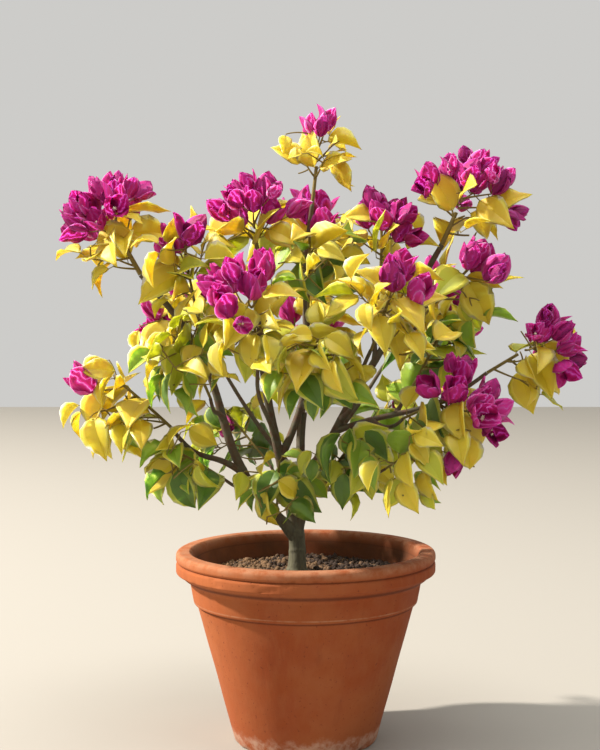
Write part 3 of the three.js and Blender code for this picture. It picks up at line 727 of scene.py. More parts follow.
class Mass:
    """A mass of foliage as it grows finer: its wood and what that wood bears."""

    def __init__(self, spray, limbs, limb_points, leaf_crowd, cup_crowd, seed):
        reach = max(spray.half) + MINGLING - 1
        self.spray = spray
        self.near = [entry for entry in limb_points if (entry[1] - spray.centre).length < reach]
        self.stem = Stem(spray, limbs[spray.name])
        self.leaf_crowd, self.cup_crowd = leaf_crowd, cup_crowd
        self.draw = seeded(spray.seed + 40 * seed)
        self.outward = outward_of(spray)
        share = spray.blooms / spray.shoots
        self.showy = share > SHOWY["share"] and abs(spray.centre.x) > SHOWY["out"]
        self.beside = 3 if self.showy else round(share * 4 - 0.45)  # cups beside the one at a twig's end
        self.twigs, self.leaves, self.cups = [], [], []
        self.wood, self.ends, self.bloom_ends, self.leafy = [], [], [], []

    def grow_wood(self):
        """The stem, the solid's twigs and finer ones between them, with the blooms that they bear."""
        stem = sample(self.stem.curve, POINTS["stem"])
        others = [entry for entry in self.near if entry[0] != self.spray.name]
        if not rod_is_clear(others, stem[::2], self.stem.root_radius):
            raise RuntimeError(f"the stem of {self.spray.name} touches a bough")
        twig = self.add_wood(stem, self.stem.root_radius, STEM["tip_radius"])
        self.leafy.append((twig, BARE["stem"], 1))
        for sprig in grow_sprigs(self.spray, self.near, self.stem):
            self.dress_sprig(sprig)
        room = clamp(math.prod(self.spray.half) / ROOM["usual"], *ROOM["shares"])
        high = height_in_crown(self.spray.centre)
        inner = clamp(1 - self.spray.centre.xy.length / THICKET["out"])
        thick = 1 - THICKET["higher"] * high + THICKET["inner"] * inner * (1 - high)
        count = round(FINER["directions"] * (room * thick / AIRY.get(self.spray.name, 1)))
        for direction in directions_of(self.spray, count):
            self.add_finer_twig(direction, self.draw(*FINER["reach"]))

    def grow_leaves(self):
        for twig, first, last in self.leafy:
            self.leaf_twig(twig, first, last)

    def add_wood(self, points, root_radius, tip_radius):
        count = len(points) - 1
        radii = [root_radius + (tip_radius - root_radius) * i / count for i in range(count + 1)]
        self.twigs.append(Twig(points, radii))
        self.wood.append(points)
        self.ends.append(points[-1])
        return self.twigs[-1]

    def dress_sprig(self, sprig):
        span = sprig.end - sprig.start
        bow = Vector((self.draw(-1, 1), self.draw(-1, 1), self.draw(-1.4, 0.2))) * (0.07 * span.length)
        points = sample(path(sprig.start, sprig.end, bow), POINTS["sprig"])
        twig = self.add_wood(points, SPRIG["root"], SPRIG["tip"])
        if sprig.blooming:
            self.bloom_ends.append(sprig.end)
        borne = sprig.blooming and self.add_blossom(points, self.beside)
        self.leafy.append((twig, BARE["twig"], LEAVES_TO["sprig"] if borne else 1))

    def add_blossom(self, points, beside):
        """A cup at a twig's end, and others beside it. They all turn up."""
        frame = Frame((points[-1] - points[-2]).normalized())
        upright = (frame.axis + UP * self.draw(*END_CUP["rise"])).normalized()
        if not self.add_cup(points[-1], upright, self.draw(*END_CUP["share"])):
            return False
        self.add_side_cups(points, frame, beside)
        return True

    def add_side_cups(self, points, frame, count):
        """Cups beside the one at a twig's end, wherever there is room."""
        turn = self.draw(0, 2 * math.pi)
        for k in range(count):
            side = frame.around(turn + k * SIDE_CUP["turn"])
            axis = frame.axis * self.draw(*SIDE_CUP["onward"]) + side * SIDE_CUP["out"]
            axis = (axis + UP * self.draw(*SIDE_CUP["rise"])).normalized()
            start = points[-1 - k // 2]
            base = start + (axis + side * 0.6).normalized() * self.draw(*SIDE_CUP["away"])
            if self.add_cup(base, axis, self.draw(*SIDE_CUP["share"])):
                pedicel = sample(path(start, base, side * 1.5), POINTS["pedicel"])
                self.twigs.append(Twig(pedicel, [TWIG["tip"], 0.6, 0.55, 0.55]))

    def add_cup(self, base, axis, share):
        """A cup of three bracts, a bit smaller where it has to be to stay in its space."""
        share *= youth_share(base, YOUNG_CUPS)
        for smaller in CUP_SHARES:
            cup = Cup(base, axis, smaller * share * bpy.context.scene.bush.blossom.length / MM)
            tip = base + axis * (CUP["tip"] * cup.size)
            free = self.cup_crowd.is_free(cup.middle, CUP_SPACING * cup.size)
            within = all(inside(self.spray, point, 1, MINGLING) for point in (tip, cup.middle))
            if free and within and rod_is_clear(self.near, [cup.middle, tip], CUP["girth"] * cup.size):
                self.cup_crowd.take(cup.middle)
                self.cups.append(cup)
                return True
        return False

    def add_finer_twig(self, direction, reach):
        """A finer twig from the nearest wood to a place in the mass's space that is still open."""
        end = self.spray.centre.lerp(edge_of(self.spray, direction), reach)
        if not inside(self.spray, end, MARGIN["sprig"]):
            return
        if any((other - end).length < FINER["spacing"] for other in self.ends):
            return
        starts = [point for line in self.wood for point in line[1:-1]]
        start = min(starts, key=lambda point: (point - end).length + 0.5 * max(0, point.z - end.z))
        span = (end - start).length
        if not FINER["shortest"] < span < FINER["longest"]:
            return
        rise = UP * (0.1 * span * self.draw(-0.4, 1.2))
        bow = rise + self.outward * (0.08 * span * self.draw(-1, 1))
        points = sample(path(start, end, bow), POINTS["twig"])
        if not rod_is_clear(self.near, points[::2], TWIG["root"]):
            return
        twig = self.add_wood(points, TWIG["root"] * FINER_GIRTH, TWIG["tip"])
        nearest = min([(other - end).length for other in self.bloom_ends], default=FINER["longest"])
        near_bloom = nearest < NEAR_BLOOM["distance"] and reach > NEAR_BLOOM["reach"]
        borne = self.showy and near_bloom and self.add_blossom(points, 1)
        self.leafy.append((twig, BARE["twig"], LEAVES_TO["twig"] if borne else 1))

    def leaf_twig(self, twig, first, last):
        """Leaves by turns round a twig from first to last, the youngest and smallest at its tip."""
        points = twig.points
        step = LEAF_STEP * (1 + 0.5 * height_in_crown(points[-1])) * (1.6 if self.showy else 1)
        count = max(2, round(length_of(points) * (last - first) / step))
        turn = self.draw(0, 2 * math.pi)
        bearing = 0.4  # a bare twig is cut back to this share
        shares = [first + (last - first) * i / count for i in range(count + 1)]
        if last == 1:
            shares.append(1)
        for i, along in enumerate(shares):
            place, ahead = self.place_along(points, along)
            if self.add_leaf(place, ahead, turn + i * GOLDEN_ANGLE, along):
                bearing = along
        if last == 1:
            twig.cut(bearing)

    @staticmethod
    def place_along(points, along):
        step = along * (len(points) - 1)
        i = min(int(step), len(points) - 2)
        return points[i].lerp(points[i + 1], step - i), (points[i + 1] - points[i]).normalized()

    def add_leaf(self, place, ahead, turn, along):
        """One leaf on its stalk: it leans out and hangs, and turns its face to the light."""
        frame = Frame(ahead)
        size = (LEAF_SIZE["share"] - LEAF_SIZE["less"] * along ** 4) * self.draw(*LEAF_SIZE["chance"])
        size = size * bpy.context.scene.bush.leaf.length / MM * youth_share(place, YOUNG_LEAVES)
        low = clamp((HEART.z + LOW[0] - place.z) / LOW[1])
        droop = self.draw(*LEAF_POSE["droop"]) + LEAF_POSE["low_droop"] * low
        margin = self.draw(*STRAY)
        roll = self.draw(*LEAF_POSE["roll"])
        for attempt, share in enumerate(LEAF_SHARES):
            radial = frame.around(turn + LEAF_POSE["turn"] * attempt)
            stalk = (radial + ahead * 0.7 + UP * 0.15).normalized()
            base = place + stalk * (PETIOLE["length"] * self.draw(*PETIOLE["shares"]))
            heading = (radial * 0.7 + ahead * 0.45 + self.outward * 0.25 - UP * droop).normalized()
            wish = self.outward * 0.25 + LIGHT * 0.75 + radial * 0.35 + heading.cross(UP) * roll
            tint, shape = self.tint_at(base, along), int(self.draw(0, len(LEAF_FORMS)))
            leaf = Blade(base, heading, square_to(heading, wish), size * share, tint, shape)
            if self.leaf_fits(leaf, margin):
                self.leaves.append(leaf)
                self.leaf_crowd.take(base + heading * (0.5 * leaf.size))
                petiole = path(place, base + heading * (0.04 * leaf.size), stalk * PETIOLE["bend"])
                points = sample(petiole, POINTS["petiole"])
                self.twigs.append(Twig(points, [TWIG["petiole"]] * len(points)))
                return True
        return False

    def leaf_fits(self, leaf, margin):
        """True if a leaf keeps to its space, apart from other leaves, off the limbs and off the blossom."""
        middle = leaf.base + leaf.heading * (0.45 * leaf.size)
        side = leaf.heading.cross(leaf.normal) * (0.3 * leaf.size)
        tip = leaf.base + leaf.heading * leaf.size
        if not self.leaf_crowd.is_free(middle, LEAF_SPACING * leaf.size):
            return False
        room = BLOOM_ROOM * bpy.context.scene.bush.blossom.length / MM
        inwards = (HEART - middle).normalized()
        if not all(self.cup_crowd.is_free(middle + inwards * depth, room) for depth in BEHIND):
            return False
        if not self.cup_crowd.is_free(tip, room):
            return False
        corners = (tip, middle + side, middle - side)
        if not all(inside(self.spray, corner, margin, MINGLING) for corner in corners):
            return False
        blade = [(leaf.base, middle + side, tip), (leaf.base, tip, middle - side)]
        return clear_of_limbs(self.near, blade, MARGIN["limb"])

    def tint_at(self, point, along):
        """A leaf's tint: riper in the light, high in the crown, high in its mass and near its twig's tip."""
        light = exposure_of(point) - 0.75
        level = clamp((point.z - self.spray.centre.z) / self.spray.half[2], -1, 1)
        ripe = self.spray.ripeness + RIPENING["light"] * light + RIPENING["height"] * height_in_crown(point)
        ripe += RIPENING["level"] * level + RIPENING["along"] * (along - 0.5) + self.draw(*RIPENING["chance"])
        return TINTS[sum(ripe > limit for limit in TINT_LIMITS)]

    def bracts(self):
        """The bracts of every cup, three to a cup, at even turns about its axis and leaning out."""
        for cup in self.cups:
            frame = Frame(cup.axis)
            turn, lean = self.draw(0, 2 * math.pi), self.draw(*CUP["lean"])
            chance = self.draw()
            tint = BRACT_TINTS[sum(chance >= limit for limit in BRACT_TINT_LIMITS)]
            for k in range(3):
                out = frame.around(turn + 2 * math.pi * k / 3 + self.draw(-CUP["turn"], CUP["turn"]))
                tilt = lean + self.draw(-CUP["sway"], CUP["sway"])
                heading = cup.axis * math.cos(tilt) + out * math.sin(tilt)
                face = cup.axis * math.sin(tilt) - out * math.cos(tilt)
                size = cup.size * self.draw(0.93, 1.05)
                base = cup.base + out * (CUP["foot"] * cup.size)
                yield Blade(base, heading, face, size, tint, int(self.draw(0, len(BRACT_FORMS))))

    def florets(self):
        """One or two small flowers in every cup."""
        for cup in self.cups:
            frame = Frame(cup.axis)
            for _ in range(int(self.draw(1, FLORET["fewer_than"]))):
                out = frame.around(self.draw(0, 2 * math.pi))
                heading = (cup.axis + out * self.draw(*FLORET["lean"])).normalized()
                across = square_to(heading, frame.beside)
                yield Blade(cup.base, heading, across, cup.size * self.draw(*FLORET["share"]), "star", 0)


@lru_cache(maxsize=1)
def grow_bush(seed):
    """The limbs by name and the grown masses."""
    settle_spaces()
    limbs = grow_limbs()
    limb_points = points_along(limbs)
    leaf_crowd, cup_crowd = Crowd(), Crowd()
    masses = [Mass(spray, limbs, limb_points, leaf_crowd, cup_crowd, seed) for spray in SPRAYS]
    for mass in masses:
        mass.grow_wood()
    for mass in masses:
        mass.grow_leaves()
    return limbs, masses


# ---------------------------------------------------------------------------- meshes


def linked(name, data):
    """A new object in the scene that holds the data."""
    made = bpy.data.objects.new(name, data)
    bpy.context.scene.collection.objects.link(made)
    return made


def plain_mesh(name, corners, edges, faces):
    mesh = bpy.data.meshes.new(name)
    mesh.from_pydata([tuple(corner) for corner in corners], edges, faces)
    return mesh


def mark(mesh, name, kind, domain, values):
    """Stores a value for each point, edge or face of a mesh."""
    mesh.attributes.new(name, kind, domain).data.foreach_set("value", values)


def finished(name, corners, faces, finish):
    """A smooth object in one finish."""
    mesh = plain_mesh(name, corners, [], faces)
    mesh.shade_smooth()
    mesh.materials.append(finish)
    return linked(name, mesh)


def keep(piece, slot_name, *replaced):
    """Hands a finished piece to the frame."""
    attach(piece, "root")
    if replaced:
        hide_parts(*replaced)
    return piece


def angles(count):
    """Even angles all round."""
    return [2 * math.pi * step / count for step in range(count)]


def sheet(rings, sides, first=0):
    """The faces between rings of corners that follow one another, the first ring's corners from first on."""
    for ring in range(rings):
        start = first + ring * sides
        for side in range(sides):
            here, beside = start + side, start + (side + 1) % sides
            yield here, beside, beside + sides, here + sides


def tube(points, radii, sides, relief=None):
    """Corners and faces of a closed tube along points. relief gives how far a corner stands out."""
    last = len(points) - 1
    corners = []
    across = Vector((0.31, 0.95, 0.02))  # where the first side starts, square to no limb
    run = 0.0
    for i, (point, radius) in enumerate(zip(points, radii)):
        ahead = (points[min(i + 1, last)] - points[max(i - 1, 0)]).normalized()
        across = square_to(ahead, across)
        over = ahead.cross(across)
        run += (point - points[i - 1]).length if i else 0
        for angle in angles(sides):
            out = across * math.cos(angle) + over * math.sin(angle)
            reach = radius + (relief(point, out, run, radius) if relief else 0)
            corners.append(point + out * reach)
    ends = [tuple(reversed(range(sides))), tuple(range(last * sides, (last + 1) * sides))]
    return corners, [*sheet(last, sides), *ends]


def turned(profile, facets, relief):
    """A profile of (radius, height) from axis to axis, turned about Z, with relief(angle, radius, height)."""
    rings = profile[1:-1]
    corners = [Vector((0, 0, profile[0][1]))]
    for radius, height in rings:
        for angle in angles(facets):
            out, up = relief(angle, radius, height)
            reach = radius + out
            corners.append(Vector((reach * math.cos(angle), reach * math.sin(angle), height + up)))
    corners.append(Vector((0, 0, profile[-1][1])))
    top = 1 + (len(rings) - 1) * facets
    underside = [(0, 1 + (step + 1) % facets, 1 + step) for step in range(facets)]
    cap = [(top + step, top + (step + 1) % facets, len(corners) - 1) for step in range(facets)]
    return corners, [*underside, *sheet(len(rings) - 1, facets, 1), *cap]


def arc(centre_radius, centre_height, radius, start, end, steps):
    angles = [math.radians(start + (end - start) * i / steps) for i in range(steps + 1)]
    return [(centre_radius + radius * math.cos(a), centre_height + radius * math.sin(a)) for a in angles]


def softened(profile, step):
    """A profile cut into short steps, with its corners worn round."""
    fine = [profile[0]]
    for (r0, z0), (r1, z1) in pairwise(profile):
        count = max(1, round(math.hypot(r1 - r0, z1 - z0) / step))
        fine += [(r0 + (r1 - r0) * i / count, z0 + (z1 - z0) * i / count) for i in range(1, count + 1)]
    worn = [
        tuple((a + 2 * b + c) / 4 for a, b, c in zip(before, here, after))
        for before, here, after in zip(fine, fine[1:], fine[2:])
    ]
    return [fine[0], *worn, fine[-1]]


def thinned(profile, longest):
    """A profile without the points that lie on straight stretches, save one for each longest step."""
    straight = 0.02  # sine of the least bend that counts
    kept = [profile[0]]
    for before, here, after in zip(profile, profile[1:], profile[2:]):
        (r0, z0), (r1, z1), (r2, z2) = before, here, after
        bend = (r1 - r0) * (z2 - z1) - (z1 - z0) * (r2 - r1)
        bent = abs(bend) > straight * math.dist(before, here) * math.dist(here, after)
        if bent or math.dist(kept[-1], here) > longest:
            kept.append(here)
    return [*kept, profile[-1]]


# ---------------------------------------------------------------------------- geometry node trees


class Nodes:
    """A node tree in the making: each call adds a node, feeds it and gives back one of its outputs."""

    def __init__(self, tree):
        self.tree = tree

    def add(self, kind, inputs=None, output=0, **values):
        node = self.tree.nodes.new(kind)
        for key, value in values.items():
            setattr(node, key, value)
        for socket, value in (inputs or {}).items():
            self.feed(node.inputs[socket], value)
        return node.outputs[output]

    def feed(self, socket, value):
        """Links an output to a socket, or sets the socket to a plain value or a colour."""
        if isinstance(value, bpy.types.NodeSocket):
            self.tree.links.new(value, socket)
        else:
            socket.default_value = (*value, 1) if socket.type == "RGBA" else value


class Graph(Nodes):
    """A geometry node tree with named inputs, each of the kind that is given."""

    def __init__(self, name, **inputs):
        super().__init__(bpy.data.node_groups.new(name, "GeometryNodeTree"))
        sockets = self.tree.interface
        sockets.new_socket("Geometry", in_out="OUTPUT", socket_type="NodeSocketGeometry")
        for input_name, kind in {"Geometry": "Geometry", **inputs}.items():
            sockets.new_socket(input_name, in_out="INPUT", socket_type="NodeSocket" + kind)
        self.given = self.tree.nodes.new("NodeGroupInput").outputs

    def attribute(self, name, data_type):
        return self.add("GeometryNodeInputNamedAttribute", {"Name": name}, data_type=data_type)

    def random(self, data_type, low, high, seed):
        """A random value for each point. The node has a pair of inputs and an output for each type."""
        output = ("FLOAT_VECTOR", "FLOAT", "INT").index(data_type)
        inputs = {2 * output: low, 2 * output + 1: high, "Seed": seed}
        return self.add("FunctionNodeRandomValue", inputs, output, data_type=data_type)

    def shapes_on(self, points, pick, turn, size):
        """One shape of the given collection on each point."""
        source = {"Collection": self.given["Shapes"], "Separate Children": True, "Reset Children": True}
        inputs = {
            "Points": points,
            "Instance": self.add("GeometryNodeCollectionInfo", source),
            "Pick Instance": True,
            "Instance Index": pick,
            "Rotation": turn,
            "Scale": size,
        }
        return self.add("GeometryNodeInstanceOnPoints", inputs)

    def painted(self, geometry, material, **selection):
        inputs = {"Geometry": geometry, "Material": self.given[material], **selection}
        return self.add("GeometryNodeSetMaterial", inputs)

    def finish(self, geometry, material, rim_material=None):
        """Ends the tree: instances made real, in their material."""
        real = self.add("GeometryNodeRealizeInstances", {"Geometry": geometry})
        made = self.painted(real, material)
        if rim_material:
            made = self.painted(made, rim_material, Selection=self.attribute("rim", "BOOLEAN"))
        self.feed(self.tree.nodes.new("NodeGroupOutput").inputs[0], made)
        return self.tree


def scatter_tree():
    """Puts one of several shapes on each point, as the point says, its rim in its own colour."""
    graph = Graph("Shapes on points", Shapes="Collection", Main="Material", Rim="Material")
    pick, turn = graph.attribute("shape", "INT"), graph.attribute("turn", "QUATERNION")
    placed = graph.shapes_on(graph.given["Geometry"], pick, turn, graph.attribute("size", "FLOAT"))
    return graph.finish(placed, "Main", "Rim")


def rods_tree():
    """Makes every path a round rod of the girth that its points say."""
    graph = Graph("Rods along paths", Sides="Int", Bark="Material")
    curves = graph.add("GeometryNodeMeshToCurve", {"Mesh": graph.given["Geometry"]})
    ring = {"Resolution": graph.given["Sides"], "Radius": 1.0}
    circle = graph.add("GeometryNodeCurvePrimitiveCircle", ring)
    girth = graph.attribute("girth", "FLOAT")
    inputs = {"Curve": curves, "Profile Curve": circle, "Scale": girth, "Fill Caps": True}
    return graph.finish(graph.add("GeometryNodeCurveToMesh", inputs), "Bark")


def crumbs_tree():
    """Strews crumbs of several shapes over the soil."""
    kinds = {"Shapes": "Collection", "Crumb": "Material", "Size": "Float", "Spacing": "Float", "Seed": "Int"}
    graph = Graph("Crumbs on soil", **kinds)
    given = graph.given
    inputs = {"Mesh": given["Geometry"], "Distance Min": given["Spacing"], "Seed": given["Seed"]}
    inputs["Density Max"] = CRUMBS["density"]
    points = graph.add("GeometryNodeDistributePointsOnFaces", inputs, "Points", distribute_method="POISSON")
    spread = graph.random("FLOAT", *CRUMBS["spread"], 3)
    size = graph.add("ShaderNodeMath", {0: spread, 1: given["Size"]}, operation="MULTIPLY")
    turn = {"Euler": graph.random("FLOAT_VECTOR", (0, 0, 0), (6.3, 6.3, 6.3), 8)}
    pick = graph.random("INT", 0, CRUMBS["shapes"] - 1, 1)
    placed = graph.shapes_on(points, pick, graph.add("FunctionNodeEulerToRotation", turn), size)
    return graph.finish(placed, "Crumb")


def plain_result(source, tree, name, **inputs):
    """Runs a tree on an object and gives back its result as a plain mesh object."""
    modifier = source.modifiers.new(tree.name, "NODES")
    modifier.node_group = tree
    for item in tree.interface.items_tree:
        if item.in_out == "INPUT" and item.name in inputs:
            modifier[item.identifier] = inputs[item.name]
    evaluated = source.evaluated_get(bpy.context.evaluated_depsgraph_get())
    mesh = bpy.data.meshes.new_from_object(evaluated)
    source.modifiers.remove(modifier)
    bpy.data.objects.remove(source)
    mesh.name = name
    return linked(name, mesh)


def shape_collection(name, shapes):
    """A collection of prototypes, one for each (corners, faces, rim faces, corners along a crease)."""
    collection = bpy.data.collections.new(name)
    for i, (corners, faces, rims, crease) in enumerate(shapes):
        mesh = plain_mesh(f"{name}_{i}", corners, [], faces)
        mesh.shade_smooth()
        mark(mesh, "rim", "BOOLEAN", "FACE", [face in rims for face in range(len(faces))])
        creased = [crease.issuperset(edge.vertices) for edge in mesh.edges]
        mark(mesh, "sharp_edge", "BOOLEAN", "EDGE", creased)
        collection.objects.link(bpy.data.objects.new(f"{name}_{i}", mesh))
    return collection


def clear_collection(collection):
    for prototype in list(collection.objects):
        bpy.data.objects.remove(prototype)
    bpy.data.collections.remove(collection)


def points_object(name, blades):
    """A point for each leaf, bract or small flower, with its turn, size and shape."""
    mesh = plain_mesh(name, [blade.base * MM for blade in blades], [], [])
    turns = []
    for blade in blades:
        side = blade.heading.cross(blade.normal).normalized()
        turns.extend(Matrix((side, blade.heading, blade.normal)).transposed().to_quaternion())
    mark(mesh, "turn", "QUATERNION", "POINT", turns)
    mark(mesh, "size", "FLOAT", "POINT", [blade.size * MM for blade in blades])
    mark(mesh, "shape", "INT", "POINT", [blade.shape for blade in blades])
    return linked(name, mesh)


def scatter(name, blades, shapes, finishes, slot_name):
    """One piece: a shape of a collection for each blade, in a main and a rim finish."""
    main_finish, rim = finishes
    piece = plain_result(
        points_object(name, blades), scatter_tree(), name, Shapes=shapes, Main=main_finish, Rim=rim
    )
    return keep(piece, slot_name)


# ---------------------------------------------------------------------------- finishes


class Recipe(Nodes):
    """A finish in the making: one colour, and what is laid over it."""

    def __init__(self, name, paint):
        self.material = bpy.data.materials.new(name)
        self.material.use_nodes = True
        super().__init__(self.material.node_tree)
        self.body = paint
        self.place = self.add("ShaderNodeTexCoord", output="Object")

    def noise(self, scale, detail=3.0, roughness=0.55, stretch=None):
        place = self.place
        if stretch:
            place = self.add("ShaderNodeMapping", {"Vector": place, "Scale": stretch})
        inputs = {"Vector": place, "Scale": scale, "Detail": detail, "Roughness": roughness}
        return self.add("ShaderNodeTexNoise", inputs)

    def spread(self, value, low, high, to_low=0.0, to_high=1.0):
        """Brings values from low to high to the range from to_low to to_high, with soft ends."""
        inputs = {"Value": value, "From Min": low, "From Max": high, "To Min": to_low, "To Max": to_high}
        return self.add("ShaderNodeMapRange", inputs, interpolation_type="SMOOTHSTEP")

    def compute(self, operation, first, second=0.5):
        return self.add("ShaderNodeMath", {0: first, 1: second}, operation=operation)

    def times(self, first, second):
        return self.compute("MULTIPLY", first, second)

    def plus(self, first, second):
        return self.compute("ADD", first, second)

    def blend(self, share, first, second):
        return self.add("ShaderNodeMix", {0: share, 6: first, 7: second}, output=2, data_type="RGBA")

    def coat(self, share, paint):
        """Lays a colour over what is there, by that share."""
        self.body = self.blend(share, self.body, paint)

    def along(self, axis):
        return self.add("ShaderNodeSeparateXYZ", {"Vector": self.place}, output=axis)

    def near(self, value, middle, width):
        """One at the middle, fading to nothing at that width to either side."""
        away = self.compute("ABSOLUTE", self.plus(value, -middle))
        return self.spread(away, 0, width, 1, 0)

    def past_wall(self):
        """The distance from Z less the lean of the pot's wall: smallest inside the wall."""
        x, y, z = (self.along(axis) for axis in "XYZ")
        radius = self.compute("POWER", self.plus(self.times(x, x), self.times(y, y)), 0.5)
        return self.plus(radius, self.times(z, -WALL_LEAN))

    def bump(self, height, strength, distance, below=None):
        inputs = {"Height": height, "Strength": strength, "Distance": distance}
        if below:
            inputs["Normal"] = below
        return self.add("ShaderNodeBump", inputs)

    def finish(self, sockets):
        """Feeds the shader and gives back the material."""
        shader = self.tree.nodes["Principled BSDF"]
        for name, value in {"Base Color": self.body, **sockets}.items():
            self.feed(shader.inputs[name], value)
        return self.material


CREASE_SHADE_BANDS = (  # height, half width and share of the painted shade under the bead, under the collar and in the groove
    (0.1902, 0.0046, 0.75),
    (0.1598, 0.0018, 0.7),
    (0.2089, 0.0012, 0.6),
)
WORN_AND_HIGHLIT_EDGE = (0.1645, 0.0013)  # height and half width of the collar's lower edge, worn and with a painted highlight
INSIDE = (0.078, 0.08)  # how far past the wall's lean the inside of the wall ends and the outside starts
DAMP_TO = (0.206, 0.222)  # where the stain on the inside fades


def clay_finish(pot):
    """Terracotta: mottled and wiped clay, streaks, painted light on the side that faces the lamp, painted shade in
    the creases, dusty worn edges with a painted highlight, white bloom at the foot.
    """
    clay = Recipe("terracotta", pot.clay)
    height = clay.along("Z")
    mottle = clay.spread(clay.noise(9, 5, 0.6), 0.35, 0.68)
    clay.coat(mottle, pot.pale_clay)
    streaks = clay.noise(1, 4, 0.6, stretch=(60, 60, 5))
    clay.coat(clay.spread(streaks, 0.55, 0.8, 0, 0.4), pot.dark_clay)
    # Painted light: the clay turns paler towards -X, the side that faces the key lamp.
    clay.coat(clay.spread(clay.along("X"), -0.13, -0.03, 0.55, 0), pot.painted_sunlight_clay)
    wipes = clay.noise(1, 3, 0.6, stretch=(110, 110, 16))
    clay.coat(clay.spread(wipes, 0.46, 0.72, 0, 0.42), pot.pale_clay)
    specks = clay.noise(300, 2, 0.5)
    clay.coat(clay.spread(specks, 0.66, 0.72, 0, 0.7), pot.dark_clay)
    # Painted shade: dark bands in the creases under the bead, under the collar and in the groove.
    for middle, width, share in CREASE_SHADE_BANDS:
        clay.coat(clay.times(clay.near(height, middle, width), share), pot.painted_crease_shade)
    ragged = clay.times(clay.noise(30, 4, 0.7), -0.03)
    foot = clay.spread(clay.plus(height, ragged), -0.004, 0.008, 0.75, 0)
    dust = clay.spread(clay.noise(60, 5, 0.7), 0.3, 0.62)
    clay.coat(clay.times(foot, dust), pot.salt)
    # Paler top of the lip and lower edge of the collar: partly real dusty wear, partly a painted highlight.
    lip = clay.spread(height, pot.height - 0.012, pot.height - 0.001)
    worn = clay.plus(clay.near(height, *WORN_AND_HIGHLIT_EDGE), lip)
    clay.coat(clay.times(clay.times(worn, dust), 0.55), pot.worn_clay_and_highlight)
    inside_wall = clay.spread(clay.past_wall(), *INSIDE, 1, 0)
    damp = clay.times(inside_wall, clay.spread(height, *DAMP_TO, 1, 0))
    clay.coat(clay.times(damp, clay.spread(mottle, 0, 1, 0.6, 0.95)), pot.damp_clay)
    grain = clay.bump(clay.noise(900, 3, 0.6), 0.25, 0.0006)
    relief = clay.bump(clay.plus(wipes, clay.noise(60, 4, 0.6)), 0.3, 0.0012, grain)
    rough = clay.spread(clay.noise(40, 3), 0.3, 0.7, 0.78, 0.95)
    return clay.finish({"Roughness": rough, "Normal": relief, "Specular IOR Level": 0.25})


def soil_finish(pot):
    """Damp soil with dry patches."""
    soil = Recipe("damp_soil", pot.soil)
    soil.coat(soil.spread(soil.noise(90, 5, 0.7), 0.4, 0.66), pot.crumb)
    relief = soil.bump(soil.noise(260, 5, 0.75), 0.8, 0.002)
    return soil.finish({"Roughness": 0.95, "Normal": relief})


def crumb_finish(pot):
    """Dry crumbs, damper in patches, with painted shade that darkens them towards the shaded side."""
    crumb = Recipe("dry_crumbs", pot.crumb)
    # The noise gives damp patches; the term in X is painted shade, darker towards +X where the soil lies in shade.
    damp = crumb.plus(crumb.noise(55, 2), crumb.times(crumb.along("X"), 1.8))
    crumb.coat(crumb.spread(damp, 0.4, 0.56), pot.soil)
    return crumb.finish({"Roughness": 0.93})


def bark_finish(wood):
    """Grey ridged bark low down that turns to smooth brown bark on the boughs."""
    bark = Recipe("bark", wood.fissure)
    ridges = bark.noise(1, 4, 0.65, stretch=(330, 330, 60))
    bark.coat(bark.spread(ridges, 0.38, 0.58), wood.bark)
    spots = bark.spread(bark.noise(420, 2), 0.6, 0.7, 0, 0.4)
    patches = bark.spread(bark.noise(120, 3), 0.35, 0.65)
    young = bark.blend(spots, bark.blend(patches, wood.young_bark, wood.fissure), wood.bark)
    bark.coat(bark.spread(bark.along("Z"), 0.232, 0.285), young)
    return bark.finish({"Roughness": 0.82, "Normal": bark.bump(ridges, 0.35, 0.001)})


def plain_finish(name, paint, roughness, specular=0.5, glow=0.0):
    """A finish of one even colour, for the small things that are dealt out by colour."""
    recipe = Recipe(name, paint)
    sockets = {
        "Roughness": roughness,
        "Specular IOR Level": specular,
        "Subsurface Weight": glow,
        "Subsurface Radius": [0.35 + 0.65 * channel / max(paint) for channel in paint],
        "Subsurface Scale": 0.003,
    }
    if glow:
        sockets["Normal"] = recipe.bump(recipe.noise(150, 2, 0.5), 0.2, 0.001)
    return recipe.finish(sockets)


# ---------------------------------------------------------------------------- pot and soil, in millimetres

POT = {"radius": 150, "height": 221, "foot": 82.2, "step": 0.8, "longest": 2.4, "facets": 280}
CHIPS = [  # knocks on the front of the rim and the bead: angle, height, size and depth share
    (-1.84, 200, 3.6, 1.3),
    (-1.79, 203, 3, 1.1),
    (-1.91, 199, 2.6, 1.2),
    (-1.66, 211, 3.6, 1.2),
    (-1.6, 212, 3, 1.1),
    (-1.5, 211, 4, 1.3),
    (-1.45, 214, 2.8, 1),
    (-1.72, 206, 2.6, 0.9),
]
STREWN_CHIPS = [  # how many more round the rim, the collar and the foot, and ranges of height, size and depth
    (26, (197, 219), (2.5, 5), (0.4, 1.1)),
    (9, (150, 164), (2.5, 4.5), (0.4, 0.8)),
    (12, (0, 6), (3, 7), (0.5, 1.2)),
]
SOIL = {"edge": 122.5, "underside": 178, "rings": 62, "facets": 150}
CRUMBS = {"shapes": 4, "density": 90000, "spread": (0.25, 1.8)}
CRUMB_BED = {"from": 13, "to": 118, "rings": 14, "facets": 60, "lift": 0.4}


def wall_radius(height):
    return POT["foot"] + WALL_LEAN * height


